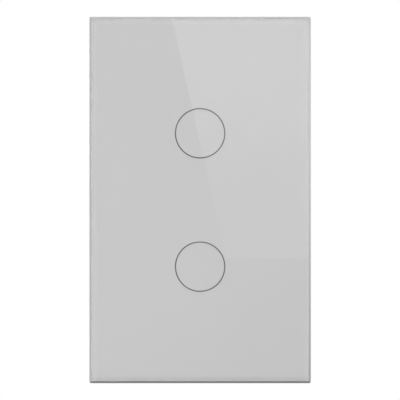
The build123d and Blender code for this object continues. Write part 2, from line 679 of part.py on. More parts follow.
def light_guide(z):
    """Milky ring that spreads the light of the LEDs along the ring mark."""
    radius = RING_DIAMETER / 2
    front = PRINT_BACK + CONTACT_GAP
    guide = tube(0, z, radius + GUIDE_HALF_WIDTH, radius - GUIDE_HALF_WIDTH, front, TOUCH_FRONT)
    groove_front = TOUCH_FRONT - LED_HEIGHT - LED_ROOM
    outer = radius + GUIDE_GROOVE_HALF_WIDTH
    inner = radius - GUIDE_GROOVE_HALF_WIDTH
    return guide - tube(0, z, outer, inner, groove_front, TOUCH_FRONT)


def ring_leds():
    """Surface-mount LEDs under both light guides."""
    radius = RING_DIAMETER / 2
    made = []
    for z in RING_CENTRES.values():
        for i in range(LEDS_PER_RING):
            angle = FIRST_LED_ANGLE + i * 360 / LEDS_PER_RING
            place = Pos(radius * cos(radians(angle)), z + radius * sin(radians(angle)))
            chip = place * Rot(0, 0, angle + 90) * Rectangle(LED_LENGTH, LED_WIDTH)
            made.append(slab(chip, TOUCH_FRONT - LED_HEIGHT, TOUCH_FRONT))
    return made


def chip_package(width, depth, height, legs, x, z, board_front):
    """A moulded chip in front of its board, with a row of legs on each long side."""
    body_back = board_front - CHIP_STAND
    body = block(x - width / 2, x + width / 2, board_front - height, body_back, z - depth / 2, z + depth / 2)
    leg_front = board_front - CHIP_LEG_HEIGHT
    half = CHIP_LEG_WIDTH / 2
    reach = depth / 2 + CHIP_LEG_REACH
    for i in range(legs):
        leg_x = x + (i - (legs - 1) / 2) * CHIP_LEG_PITCH
        body += block(leg_x - half, leg_x + half, leg_front, board_front, z - reach, z + reach)
    return body


def touch_controller():
    """The touch-sensing chip, between the two rings."""
    size = (CONTROLLER_WIDTH, CONTROLLER_DEPTH, CONTROLLER_HEIGHT)
    return chip_package(*size, CONTROLLER_LEGS, 0, 0, TOUCH_FRONT)


def touch_board_passives():
    """Rows of small resistors and capacitors either side of the controller."""
    made = []
    for side in (-1, 1):
        x = side * (CONTROLLER_WIDTH / 2 + PASSIVE_GAP)
        for row in (-1, 0, 1):
            chip = Pos(x, row * PASSIVE_PITCH) * Rectangle(LED_LENGTH, LED_WIDTH)
            made.append(slab(chip, TOUCH_FRONT - LED_HEIGHT, TOUCH_FRONT))
    return made


def radio_module_board():
    """The wireless module's own board, on the back of the touch board."""
    half = RADIO_WIDTH / 2
    return block(-half, half, TOUCH_BACK, TOUCH_BACK + RADIO_BOARD_THICKNESS, RADIO_BOTTOM, RADIO_TOP)


def radio_shield():
    """Pressed metal can over the module's chips, clear of its antenna."""
    half = RADIO_WIDTH / 2 - SHIELD_MARGIN
    front = TOUCH_BACK + RADIO_BOARD_THICKNESS
    back = front + SHIELD_HEIGHT
    low, high = RADIO_BOTTOM + SHIELD_MARGIN, RADIO_TOP - RADIO_ANTENNA_LENGTH
    can = block(-half, half, front, back, low, high)
    wall = SHIELD_WALL
    return can - block(-half + wall, half - wall, front, back - wall, low + wall, high - wall)


# Board-to-board connector


def header_pin_places():
    """Centres of the connector's two rows of pins."""
    columns = [(i - (HEADER_COLUMNS - 1) / 2) * HEADER_PITCH for i in range(HEADER_COLUMNS)]
    return [(x, HEADER_Z + row * HEADER_PITCH / 2) for x in columns for row in (-1, 1)]


def pin_sockets(front, back):
    """Square passages for the connector's pins."""
    width = HEADER_PIN + 2 * HEADER_PIN_GAP
    passages = Sketch() + [Pos(x, z) * Rectangle(width, width) for x, z in header_pin_places()]
    return slab(passages, front, back)


def board_header():
    """Insulator of the pin header on the back of the touch board."""
    back = TOUCH_BACK + HEADER_INSULATOR
    body = slab(Pos(0, HEADER_Z) * Rectangle(HEADER_WIDTH, HEADER_DEPTH), TOUCH_BACK, back)
    return body - pin_sockets(TOUCH_BACK, back)


def header_pins():
    """Square pins from the touch board into the socket."""
    tip = POWER_FRONT - SOCKET_HEIGHT + SOCKET_DEPTH - CONTACT_GAP
    front = TOUCH_FRONT - LEAD_TAIL / 2
    square = Rectangle(HEADER_PIN, HEADER_PIN)
    return [slab(Pos(x, z) * square, front, tip) for x, z in header_pin_places()]


def board_socket():
    """Socket on the power board that takes the header's pins."""
    front = POWER_FRONT - SOCKET_HEIGHT
    body = slab(Pos(0, HEADER_Z) * Rectangle(HEADER_WIDTH, HEADER_DEPTH), front, POWER_FRONT)
    return body - pin_sockets(front, front + SOCKET_DEPTH)


# Relays


def relay_levels():
    """Heights inside a relay: foot, pole, top of the iron, underside of the armature."""
    foot = POWER_BACK + RELAY_BASE
    lid = POWER_BACK + RELAY_HEIGHT - RELAY_WALL
    top_parts = ARMATURE_THICKNESS + LEAF_THICKNESS + CONTACT_HEIGHT + RELAY_WALL
    armature = lid - top_parts
    return foot, armature - AIR_GAP, armature - HINGE_GAP, armature


def relay_hinge():
    """The armature's hinge axis, as Y and Z."""
    iron_top = relay_levels()[2]
    return iron_top, RELAY_BOTTOM + RELAY_WALL + RELAY_FIT + IRON_THICKNESS


def relay_lead_places(x):
    """Pins of one relay's coil."""
    half = RELAY_WIDTH / 2 - RELAY_WALL - RELAY_FIT - 2 * LEAD_RADIUS
    low = RELAY_BOTTOM + RELAY_WALL + RELAY_FIT + 2 * LEAD_RADIUS
    return [(x - half, low), (x + half, low)]


def relay_blade_places(x):
    """Pin of one relay's fixed contact blade, as a list of one place."""
    z = RELAY_TOP - RELAY_WALL - 2 * RELAY_FIT - BLADE_THICKNESS / 2
    return [(x, z)]


def relay_base(x):
    """Moulded base that closes the relay's case."""
    inset = RELAY_WALL + RELAY_FIT
    half = RELAY_WIDTH / 2 - inset
    back = POWER_BACK + RELAY_BASE
    base = block(x - half, x + half, POWER_BACK, back, RELAY_BOTTOM + inset, RELAY_TOP - inset)
    for lead_x, lead_z in relay_lead_places(x) + relay_blade_places(x):
        base -= rod(lead_x, lead_z, LEAD_RADIUS + RELAY_FIT, POWER_BACK, back)
    return base


def relay_case(x):
    """Moulded cover of one relay."""
    half, wall = RELAY_WIDTH / 2, RELAY_WALL
    top = POWER_BACK + RELAY_HEIGHT
    case = block(x - half, x + half, POWER_BACK, top, RELAY_BOTTOM, RELAY_TOP)
    case = fillet(case.faces().sort_by(Axis.Y)[-1].edges(), wall / 2)
    low, high = RELAY_BOTTOM + wall, RELAY_TOP - wall
    return case - block(x - half + wall, x + half - wall, POWER_BACK, top - wall, low, high)


def coil_centre_z():
    """Where the coil stands along a relay."""
    return relay_hinge()[1] + COIL_OFFSET


def relay_iron(x):
    """L-shaped frame and the core that is riveted into its foot."""
    foot, pole, iron_top, _ = relay_levels()
    hinge_z = relay_hinge()[1]
    coil_z = coil_centre_z()
    half = IRON_WIDTH / 2
    upright = block(x - half, x + half, foot, iron_top, hinge_z - IRON_THICKNESS, hinge_z)
    sole_back = foot + IRON_THICKNESS
    sole = block(x - half, x + half, foot, sole_back, hinge_z - IRON_THICKNESS, coil_z + POLE_RADIUS)
    core = rod(x, coil_z, CORE_RADIUS, sole_back, pole)
    head = rod(x, coil_z, POLE_RADIUS, pole - POLE_FACE, pole)
    return upright + sole + core + head


def bobbin_span():
    """The bobbin's two ends along Y."""
    foot, pole, _, _ = relay_levels()
    return foot + IRON_THICKNESS, pole - POLE_FACE


def relay_bobbin(x):
    """Flanged spool round the core."""
    front, back = bobbin_span()
    z, bore = coil_centre_z(), CORE_RADIUS + SCREW_FIT
    spool = tube(x, z, CORE_RADIUS + BOBBIN_WALL, bore, front, back)
    spool += tube(x, z, BOBBIN_RADIUS, bore, front, front + BOBBIN_FLANGE)
    return spool + tube(x, z, BOBBIN_RADIUS, bore, back - BOBBIN_FLANGE, back)


def relay_winding(x):
    """Enamelled copper wound on the spool, as one solid."""
    front, back = bobbin_span()
    inner = CORE_RADIUS + BOBBIN_WALL + SCREW_FIT
    outer = BOBBIN_RADIUS - WINDING_INSET
    return tube(x, coil_centre_z(), outer, inner, front + BOBBIN_FLANGE, back - BOBBIN_FLANGE)


def relay_armature(x):
    """Moving iron, its contact leaf and the moving contact, riveted together."""
    armature = relay_levels()[3]
    hinge_z = relay_hinge()[1]
    half, leaf_half = IRON_WIDTH / 2, LEAF_WIDTH / 2
    iron_back = armature + ARMATURE_THICKNESS
    leaf_back = iron_back + LEAF_THICKNESS
    start = hinge_z - ARMATURE_OVERHANG
    plate = block(x - half, x + half, armature, iron_back, start, hinge_z + ARMATURE_LENGTH)
    leaf = block(x - leaf_half, x + leaf_half, iron_back, leaf_back, start, hinge_z + LEAF_LENGTH)
    contact_z = hinge_z + CONTACT_ARM
    contact = rod(x, contact_z, CONTACT_RADIUS, iron_back - CONTACT_HEIGHT, leaf_back + CONTACT_HEIGHT / 2)
    return plate + leaf + contact


def relay_contacts(x):
    """Fixed contact on its blade, and the coil's two pins."""
    armature = relay_levels()[3]
    contact_z = relay_hinge()[1] + CONTACT_ARM
    moving_face = armature + ARMATURE_THICKNESS - CONTACT_HEIGHT
    face = moving_face - OPEN_CONTACT_GAP
    shelf = face - CONTACT_HEIGHT
    half = LEAF_WIDTH / 2
    blade_top = relay_blade_places(x)[0][1] + BLADE_THICKNESS / 2
    blade_bottom = blade_top - BLADE_THICKNESS
    base_back = POWER_BACK + RELAY_BASE
    upright = block(x - half, x + half, base_back, shelf, blade_bottom, blade_top)
    ledge = block(x - half, x + half, shelf - BLADE_THICKNESS, shelf, contact_z - CONTACT_RADIUS, blade_top)
    rivet = rod(x, contact_z, CONTACT_RADIUS, shelf, face)
    blade = upright + ledge + rivet + leads(relay_blade_places(x), base_back)
    return [blade] + leads(relay_lead_places(x), base_back + LEAD_TAIL)


# Transformer


def transformer_core():
    """Ferrite pair of E shapes, closed round the winding."""
    x, z = TRANSFORMER_X, TRANSFORMER_Z
    half, half_depth = CORE_WIDTH / 2, CORE_DEPTH / 2
    front = POWER_BACK + BOBBIN_RAIL_HEIGHT / 2
    back = POWER_BACK + CORE_HEIGHT
    core = block(x - half, x + half, front, back, z - half_depth, z + half_depth)
    leg = CORE_LEG / 2
    outer = half - CORE_SIDE_LEG
    for side in (-1, 1):
        low, high = sorted((x + side * leg, x + side * outer))
        core -= block(low, high, front + CORE_BRIDGE, back - CORE_BRIDGE, z - half_depth, z + half_depth)
    return core


def transformer_windows():
    """The span of the core's windows along Y, and the winding's room across them."""
    front = POWER_BACK + BOBBIN_RAIL_HEIGHT / 2 + CORE_BRIDGE
    back = POWER_BACK + CORE_HEIGHT - CORE_BRIDGE
    return front + BOBBIN_FIT, back - BOBBIN_FIT, CORE_WIDTH / 2 - CORE_SIDE_LEG - BOBBIN_FIT


def ring_of(outer_x, outer_z, inner_x, inner_z):
    """A rectangular ring about the transformer's axis, drawn in X and Z."""
    shape = Rectangle(2 * outer_x, 2 * outer_z) - Rectangle(2 * inner_x, 2 * inner_z)
    return Pos(TRANSFORMER_X, TRANSFORMER_Z) * shape


def transformer_bobbin():
    """Spool round the centre leg, with two rails that carry the pins."""
    front, back, reach = transformer_windows()
    bore_x = CORE_LEG / 2 + BOBBIN_FIT
    bore_z = CORE_DEPTH / 2 + BOBBIN_FIT
    flange_z = TRANSFORMER_LENGTH / 2
    spool = slab(ring_of(bore_x + BOBBIN_WALL, bore_z + BOBBIN_WALL, bore_x, bore_z), front, back)
    flange = ring_of(reach, flange_z, bore_x, bore_z)
    spool += slab(flange, front, front + BOBBIN_FLANGE)
    spool += slab(flange, back - BOBBIN_FLANGE, back)
    x, z = TRANSFORMER_X, TRANSFORMER_Z
    for side in (-1, 1):
        far = z + side * flange_z
        low, high = sorted((far - side * BOBBIN_RAIL_DEPTH, far))
        half = CORE_WIDTH / 2
        rail_back = POWER_BACK + BOBBIN_RAIL_HEIGHT
        spool += block(x - half, x + half, POWER_BACK, rail_back, low, high)
        spool += block(x - reach, x + reach, rail_back, front + BOBBIN_FLANGE, low, high)
    return spool + leads(transformer_lead_places(), POWER_BACK)


def transformer_lead_places():
    """Pins at both rails of the transformer."""
    spread = CORE_WIDTH / 2 - 2 * LEAD_RADIUS
    reach = TRANSFORMER_LENGTH / 2 - 2 * LEAD_RADIUS
    columns = [TRANSFORMER_X + step * spread for step in (-1, 0, 1)]
    return [(x, TRANSFORMER_Z + side * reach) for x in columns for side in (-1, 1)]


def transformer_winding():
    """Taped winding between the spool's flanges."""
    front, back, reach = transformer_windows()
    inner_x = CORE_LEG / 2 + BOBBIN_FIT + BOBBIN_WALL + SCREW_FIT
    inner_z = CORE_DEPTH / 2 + BOBBIN_FIT + BOBBIN_WALL + SCREW_FIT
    outer_x = reach - WINDING_GAP
    outer_z = inner_z + outer_x - inner_x
    return slab(ring_of(outer_x, outer_z, inner_x, inner_z), front + BOBBIN_FLANGE, back - BOBBIN_FLANGE)


# Capacitors, fuse, varistor and chips


def can(x, z, radius, height):
    """An upright electrolytic capacitor: a can with a crimp groove and two leads."""
    body = rod(x, z, radius, POWER_BACK, POWER_BACK + height)
    body = fillet(body.faces().sort_by(Axis.Y)[-1].edges(), CAN_ROUND)
    groove_front = POWER_BACK + CAN_GROOVE_START
    groove_back = groove_front + CAN_GROOVE_WIDTH
    body -= tube(x, z, 2 * radius, radius - CAN_GROOVE_DEPTH, groove_front, groove_back)
    return body + leads(can_lead_places(x, z, radius), POWER_BACK)


def can_lead_places(x, z, radius):
    """The two leads of an upright capacitor."""
    return [(x - radius / 2, z), (x + radius / 2, z)]


def bulk_places():
    """Centres of the two large capacitors, side by side."""
    step = BULK_RADIUS + PART_GAP / 2
    return [(BULK_X - step, BULK_Z), (BULK_X + step, BULK_Z)]


def bulk_capacitors():
    """Two high-voltage capacitors."""
    return [can(x, z, BULK_RADIUS, BULK_HEIGHT) for x, z in bulk_places()]


OUTPUT_X = -RELAY_X - OUTPUT_RADIUS
OUTPUT_Z = TOP_ROW_BOTTOM + OUTPUT_RADIUS
FILTER_X = OUTPUT_X + OUTPUT_RADIUS + PART_GAP + FILTER_WIDTH / 2
FILTER_Z = TOP_ROW_BOTTOM + FILTER_DEPTH / 2
VARISTOR_X = FILTER_X + FILTER_WIDTH / 2 + PART_GAP + VARISTOR_RADIUS
VARISTOR_Z = TOP_ROW_BOTTOM + VARISTOR_THICKNESS / 2
FUSE_Z = TOP_ROW_BOTTOM + TOP_ROW_DEPTH - FUSE_DEPTH / 2


def pair_places(x, z, spread):
    """Two leads along X."""
    return [(x - spread / 2, z), (x + spread / 2, z)]


def boxed_part(x, z, width, depth, height):
    """A moulded box on two leads."""
    body = block(x - width / 2, x + width / 2, POWER_BACK, POWER_BACK + height, z - depth / 2, z + depth / 2)
    body = fillet(body.edges().filter_by(Axis.Y), BOX_ROUND)
    return body + leads(pair_places(x, z, width / 2), POWER_BACK)


def varistor():
    """Disc varistor standing on its leads."""
    centre_y = POWER_BACK + VARISTOR_STAND + VARISTOR_RADIUS
    half = VARISTOR_THICKNESS / 2
    disc = Pos(VARISTOR_X, centre_y, VARISTOR_Z) * Cylinder(VARISTOR_RADIUS, VARISTOR_THICKNESS)
    disc = fillet(disc.edges(), half / 2)
    return disc + leads(pair_places(VARISTOR_X, VARISTOR_Z, VARISTOR_RADIUS), centre_y)


def bridge_rectifier():
    """Rectifier on the front of the power board."""
    size = (RECTIFIER_WIDTH, RECTIFIER_DEPTH, RECTIFIER_HEIGHT)
    x = (BULK_X - FRONT_CHIP_SPREAD) / 2
    return chip_package(*size, RECTIFIER_LEGS, x, FRONT_CHIP_Z, POWER_FRONT)


def converter_chip():
    """Supply converter chip on the front of the power board."""
    size = (CONVERTER_WIDTH, CONVERTER_DEPTH, CONVERTER_HEIGHT)
    x = (BULK_X + FRONT_CHIP_SPREAD) / 2
    return chip_package(*size, CONVERTER_LEGS, x, FRONT_CHIP_Z, POWER_FRONT)


def power_lead_places():
    """Every round lead that passes through the power board."""
    places = []
    for x in RELAY_CENTRES.values():
        places += relay_lead_places(x) + relay_blade_places(x)
    places += transformer_lead_places()
    for x, z in bulk_places():
        places += can_lead_places(x, z, BULK_RADIUS)
    places += can_lead_places(OUTPUT_X, OUTPUT_Z, OUTPUT_RADIUS)
    places += pair_places(FILTER_X, FILTER_Z, FILTER_WIDTH / 2)
    places += pair_places(VARISTOR_X, VARISTOR_Z, VARISTOR_RADIUS)
    places += pair_places(0, FUSE_Z, FUSE_WIDTH / 2)
    return places


def power_board():
    """Circuit board for the supply, relays and terminals, notched round the bosses."""
    outline = Rectangle(POWER_BOARD_WIDTH, POWER_BOARD_HEIGHT)
    notch = 2 * (BOSS_RADIUS + BOARD_EDGE_GAP)
    for x, z in CASE_SCREW_PLACES:
        outline -= Pos(x, z) * Rectangle(notch, notch)
    holes = [Pos(x, z) * Circle(LEAD_RADIUS + LEAD_GAP) for x, z in power_lead_places()]
    slot = Rectangle(BAR_WIDTH + 2 * LEAD_GAP, BAR_THICKNESS + 2 * LEAD_GAP)
    holes += [Pos(x, BAR_LEG_Z) * slot for x in POLE_CENTRES]
    return slab(outline - holes, POWER_FRONT, POWER_BACK)


# Wire terminals


def terminal_block():
    """Moulded block with a chamber for each clamp."""
    half = POLES * POLE_PITCH / 2 + BLOCK_END_WALL
    body = block(-half, half, POWER_BACK, BLOCK_BACK, BLOCK_BOTTOM, BLOCK_TOP)
    chamber_half = CAGE_WIDTH / 2 + CAGE_GAP
    chamber_top = CAGE_BOTTOM + CAGE_LENGTH + CAGE_GAP
    bar_half = BAR_WIDTH / 2 + LEAD_GAP
    entry_half = WIRE_ENTRY_WIDTH / 2
    chamber_bottom = CAGE_BOTTOM - CAGE_GAP
    for x in POLE_CENTRES:
        body -= block(x - chamber_half, x + chamber_half, POWER_BACK, ROOF_FRONT, chamber_bottom, chamber_top)
        leg_top = BAR_LEG_Z + BAR_THICKNESS / 2 + LEAD_GAP
        body -= block(x - bar_half, x + bar_half, POWER_BACK, BAR_BACK + LEAD_GAP, chamber_top, leg_top)
        body -= block(x - entry_half, x + entry_half, WIRE_FRONT, BAR_FRONT, BLOCK_BOTTOM, CAGE_BOTTOM)
        body -= rod(x, CAGE_Z, TERMINAL_SCREW_RADIUS + CAGE_GAP, ROOF_FRONT, ROOF_BACK)
        body -= rod(x, CAGE_Z, TERMINAL_HEAD_RADIUS + CAGE_GAP, ROOF_BACK, BLOCK_BACK)
    return body


def terminal_bars():
    """Bent brass bars that the wires are clamped against, one for each pole."""
    made = []
    half, thick = BAR_WIDTH / 2, BAR_THICKNESS
    for x in POLE_CENTRES:
        tongue = block(x - half, x + half, BAR_FRONT, BAR_BACK, CAGE_BOTTOM, BAR_LEG_Z + thick / 2)
        leg_front = POWER_FRONT - LEAD_TAIL
        leg = block(x - half, x + half, leg_front, BAR_FRONT, BAR_LEG_Z - thick / 2, BAR_LEG_Z + thick / 2)
        made.append(tongue + leg)
    return made


def terminal_cage(x):
    """Rising clamp: a plated box that the screw draws up against the bar."""
    half, inner = CAGE_WIDTH / 2, CAGE_WIDTH / 2 - CAGE_WALL
    cage = block(x - half, x + half, CAGE_FRONT, CAGE_BACK, CAGE_BOTTOM, CAGE_BOTTOM + CAGE_LENGTH)
    cage -= block(x - inner, x + inner, WIRE_FRONT, CAGE_TOP_FRONT, CAGE_BOTTOM, CAGE_BOTTOM + CAGE_LENGTH)
    return cage - rod(x, CAGE_Z, TERMINAL_SCREW_RADIUS + SCREW_FIT, CAGE_TOP_FRONT, CAGE_BACK)


def terminal_screw(x):
    """Clamp screw: turns in place, with its head behind the block's roof."""
    screw = rod(x, CAGE_Z, TERMINAL_SCREW_RADIUS, BAR_BACK + SCREW_FIT, HEAD_FRONT)
    screw += rod(x, CAGE_Z, TERMINAL_HEAD_RADIUS, HEAD_FRONT, HEAD_BACK)
    reach = TERMINAL_HEAD_RADIUS - DRIVER_SLOT_WIDTH / 2
    return screw - cross_slot(x, CAGE_Z, reach, HEAD_BACK - DRIVER_SLOT_DEPTH, HEAD_BACK)


# Rear housing


def housing_body():
    """Outside of the housing: a rounded box, stepped down over the terminals."""
    outline = rounded(HOUSING_WIDTH, HOUSING_HEIGHT, HOUSING_CORNER_RADIUS)
    body = slab(outline, 0, HOUSING_OUTSIDE)
    half = HOUSING_WIDTH
    body -= block(-half, half, BAY_OUTSIDE, 2 * HOUSING_OUTSIDE, -HOUSING_HEIGHT, BAY_TOP)
    step = body.faces().filter_by(Axis.Y).sort_by(Axis.Y)[-2]
    body = fillet(step.edges().sort_by(Axis.Z)[:-1], HOUSING_STEP_ROUND)
    back = body.faces().filter_by(Axis.Y).sort_by(Axis.Y)[-1]
    return fillet(back.edges(), HOUSING_BACK_ROUND)


def housing_room():
    """Inside of the housing, in two depths."""
    half = INSIDE_HALF_WIDTH
    radius = max(HOUSING_CORNER_RADIUS - HOUSING_WALL, BOX_ROUND)
    shallow = slab(rounded(2 * half, 2 * INSIDE_HALF_HEIGHT, radius), 0, BAY_INSIDE)
    deep_bottom = BAY_TOP + HOUSING_WALL
    return shallow + block(-half, half, BAY_INSIDE, HOUSING_INSIDE, deep_bottom, INSIDE_HALF_HEIGHT)


def vent_rows():
    """Cooling slots through both side walls and the top wall."""
    start = POWER_BACK + ROW_GAP
    cuts = []
    reach = HOUSING_WIDTH
    for i in range(VENTS_PER_ROW):
        offset = (i - (VENTS_PER_ROW - 1) / 2) * VENT_PITCH
        half = VENT_WIDTH / 2
        cuts.append(block(-reach, reach, start, start + VENT_LENGTH, offset - half, offset + half))
        cuts.append(block(offset - half, offset + half, start, start + VENT_LENGTH, 0, HOUSING_HEIGHT))
    return cuts


def rear_housing():
    """Moulded box in the wall that holds the power board and covers the terminals."""
    housing = housing_body() - housing_room()
    for side in (-1, 1):
        for z in (-SUPPORT_RIB_SPACING / 2, SUPPORT_RIB_SPACING / 2):
            wall = INSIDE_HALF_WIDTH + HOUSING_WALL / 2
            low, high = sorted((side * (INSIDE_HALF_WIDTH - SUPPORT_RIB_REACH), side * wall))
            half = SUPPORT_RIB_WIDTH / 2
            floor = BAY_INSIDE if z - half < BAY_TOP + HOUSING_WALL else HOUSING_INSIDE
            housing += block(low, high, POWER_BACK, floor, z - half, z + half)
    for cut in vent_rows():
        housing -= cut
    for x, z in CASE_SCREW_PLACES:
        housing += rod(x, z, BOSS_RADIUS, 0, BOSS_BACK)
        housing -= rod(x, z, CASE_SCREW_RADIUS + SCREW_FIT, 0, CASE_SCREW_TIP + BOSS_TIP_ROOM)
    entry_half = WIRE_ENTRY_WIDTH / 2
    outside = -HOUSING_HEIGHT / 2
    for x in POLE_CENTRES:
        housing -= block(x - entry_half, x + entry_half, WIRE_FRONT, BAR_FRONT, outside, -INSIDE_HALF_HEIGHT)
        housing -= wire_funnel(x, outside)
        housing -= rod(x, CAGE_Z, TERMINAL_HEAD_RADIUS + STEP_GAP, BAY_INSIDE, BAY_OUTSIDE)
    barrier_places = [x - POLE_PITCH / 2 for x in POLE_CENTRES] + [POLE_CENTRES[-1] + POLE_PITCH / 2]
    half = BARRIER_WIDTH / 2
    for x in barrier_places:
        back = BAY_OUTSIDE + BARRIER_HEIGHT
        housing += block(x - half, x + half, BAY_OUTSIDE, back, outside + BARRIER_HEIGHT, BAY_TOP)
    recess = Rectangle(LABEL_RECESS_WIDTH, LABEL_RECESS_HEIGHT)
    recess_z = (BAY_TOP + HOUSING_HEIGHT / 2) / 2
    return housing - slab(Pos(0, recess_z) * recess, HOUSING_OUTSIDE - LABEL_RECESS_DEPTH, HOUSING_OUTSIDE)


def wire_funnel(x, outside):
    """The flared mouth of one wire entry, in the housing's lower wall."""
    middle = Plane(origin=(x, (WIRE_FRONT + BAR_FRONT) / 2, outside), x_dir=(1, 0, 0), z_dir=(0, 0, 1))
    flare = 2 * WIRE_ENTRY_FUNNEL
    mouth = middle * Rectangle(WIRE_ENTRY_WIDTH + flare, WIRE_ROOM + flare)
    throat = middle.offset(WIRE_ENTRY_FUNNEL) * Rectangle(WIRE_ENTRY_WIDTH, WIRE_ROOM)
    return loft([mouth, throat])


def main():
    os.makedirs("parts", exist_ok=True)
    save("glass_panel", glass_panel())
    save("back_print", back_print())
    save("ring_marks", ring_marks())
    save("adhesive_frame", adhesive_frame())
    save("panel_carrier", panel_carrier())
    save("panel_clips", panel_clips())
    save("mounting_yoke", mounting_yoke())
    save("front_frame", front_frame())
    save("case_screws", case_screws())
    save("board_screws", board_screws())
    save("touch_board", touch_board())
    save("ring_leds", ring_leds())
    save("touch_controller", touch_controller())
    save("touch_board_passives", touch_board_passives())
    save("radio_module_board", radio_module_board())
    save("radio_shield", radio_shield())
    save("board_header", board_header())
    save("header_pins", header_pins())
    save("board_socket", board_socket())
    for name, z in RING_CENTRES.items():
        save(f"touch_spring_{name}", touch_spring(z))
        save(f"light_guide_{name}", light_guide(z))
    for name, x in RELAY_CENTRES.items():
        save(f"relay_base_{name}", relay_base(x))
        save(f"relay_case_{name}", relay_case(x))
        save(f"relay_iron_{name}", relay_iron(x))
        save(f"relay_bobbin_{name}", relay_bobbin(x))
        save(f"relay_winding_{name}", relay_winding(x))
        save(f"relay_armature_{name}", relay_armature(x))
        save(f"relay_contacts_{name}", relay_contacts(x))
    save("transformer_core", transformer_core())
    save("transformer_bobbin", transformer_bobbin())
    save("transformer_winding", transformer_winding())
    save("bulk_capacitors", bulk_capacitors())
    save("output_capacitor", can(OUTPUT_X, OUTPUT_Z, OUTPUT_RADIUS, OUTPUT_HEIGHT))
    save("filter_capacitor", boxed_part(FILTER_X, FILTER_Z, FILTER_WIDTH, FILTER_DEPTH, FILTER_HEIGHT))
    save("varistor", varistor())
    save("fuse", boxed_part(0, FUSE_Z, FUSE_WIDTH, FUSE_DEPTH, FUSE_HEIGHT))
    save("bridge_rectifier", bridge_rectifier())
    save("converter_chip", converter_chip())
    save("power_board", power_board())
    save("terminal_block", terminal_block())
    save("terminal_bars", terminal_bars())
    for i, x in enumerate(POLE_CENTRES, 1):
        save(f"terminal_cage_{i}", terminal_cage(x))
        save(f"terminal_screw_{i}", terminal_screw(x))
    save("rear_housing", rear_housing())


main()
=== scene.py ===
# %% [markdown]
# # A touch-glass wall switch with two rings
#
# The switch is a flat panel of back-printed glass over a white plastic frame, with a small housing
# behind it that sits in the wall. Its shapes come finished from the CAD model, so this lesson is
# mostly about finishes: how glass, enamel, moulded plastic, zinc plate and a circuit board each
# catch the light. The first cell loads the CAD model as a fixed frame.

# %% Load the frame
import json
from math import pi

import bmesh
import bpy
from mathutils import Matrix, Vector


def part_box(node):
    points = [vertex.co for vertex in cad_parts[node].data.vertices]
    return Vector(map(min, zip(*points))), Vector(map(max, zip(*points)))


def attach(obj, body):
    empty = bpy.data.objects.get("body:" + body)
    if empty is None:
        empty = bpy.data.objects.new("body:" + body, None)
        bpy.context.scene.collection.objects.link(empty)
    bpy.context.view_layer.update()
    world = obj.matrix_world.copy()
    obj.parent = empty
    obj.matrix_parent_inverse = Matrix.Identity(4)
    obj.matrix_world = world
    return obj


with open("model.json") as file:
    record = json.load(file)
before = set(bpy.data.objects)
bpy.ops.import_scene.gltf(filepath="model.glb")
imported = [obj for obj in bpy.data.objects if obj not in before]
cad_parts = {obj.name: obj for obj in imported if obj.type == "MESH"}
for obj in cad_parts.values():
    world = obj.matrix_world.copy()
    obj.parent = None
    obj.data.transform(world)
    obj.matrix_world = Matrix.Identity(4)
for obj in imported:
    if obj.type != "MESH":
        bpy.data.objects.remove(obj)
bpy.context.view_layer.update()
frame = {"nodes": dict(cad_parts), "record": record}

# %% [markdown]
# ## Units and helpers
#
# The CAD model is in metres. Sizes on the switch are given in millimetres, as a maker measures
# them, and one constant turns them into metres. Only the floor, the lamps and the cards of the
# studio are placed in metres. A pattern's scale in Blender is "features per metre", which is one
# divided by the size of a feature.
#
# Colours are written the way a maker reads them off a swatch, as sRGB hex, and one function turns
# them into the linear values that the renderer works with. Two more serve every material: one
# fills a node's sockets, where a number is set on the socket itself and another node's output is
# linked, and one adds a node with its settings and fills its sockets.

# %% Helpers for colour and nodes
MM = 0.001


def per_metre(size_mm):
    """A texture scale whose features are about this many millimetres across."""
    return 1.0 / (size_mm * MM)


def linear(hex_colour, alpha=1.0):
    """An sRGB hex colour as linear red, green, blue and alpha."""
    channels = [int(hex_colour[i:i + 2], 16) / 255 for i in (0, 2, 4)]
    values = [c / 12.92 if c <= 0.04045 else ((c + 0.055) / 1.055) ** 2.4 for c in channels]
    return (*values, alpha)


def settle(tree, node, inputs):
    """Fills a node's sockets, each with a number, a colour or another node's output."""
    for name, value in inputs.items():
        if isinstance(value, bpy.types.NodeSocket):
            tree.links.new(value, node.inputs[name])
        else:
            node.inputs[name].default_value = value


def add(tree, kind, inputs=None, **settings):
    """Adds a node with its settings and fills its sockets."""
    node = tree.nodes.new(kind)
    for name, value in settings.items():
        setattr(node, name, value)
    settle(tree, node, inputs or {})
    return node


def new_material(name):
    """A material with one shader: returns the material, its tree, the shader and the place."""
    material = bpy.data.materials.new(name)
    material.use_nodes = True
    tree = material.node_tree
    tree.nodes.clear()
    place = add(tree, "ShaderNodeTexCoord").outputs["Object"]
    shader = add(tree, "ShaderNodeBsdfPrincipled")
    add(tree, "ShaderNodeOutputMaterial", {"Surface": shader.outputs["BSDF"]})
    return material, tree, shader, place


print("a millimetre is", MM, "m, and the sRGB grey 808080 is", round(linear("808080")[0], 3))

# %% [markdown]
# ## Three patterns that most finishes share
#
# Nothing real has one flat colour. A pigment is never perfectly mixed, which shows as a faint
# cloudiness; a mould is spark-eroded, which leaves a fine grain that breaks up the highlight; and a
# rolled or brushed metal has streaks in one direction. Each is a noise texture on the object's own
# coordinates, with its size given in millimetres. They are functions because nearly every finish
# below uses them, with sizes of its own.

# %% Shared patterns
# Blender's noise seldom leaves this range, so a cloudy colour reaches its two ends there.
NOISE_LOW = 0.3
NOISE_HIGH = 0.7


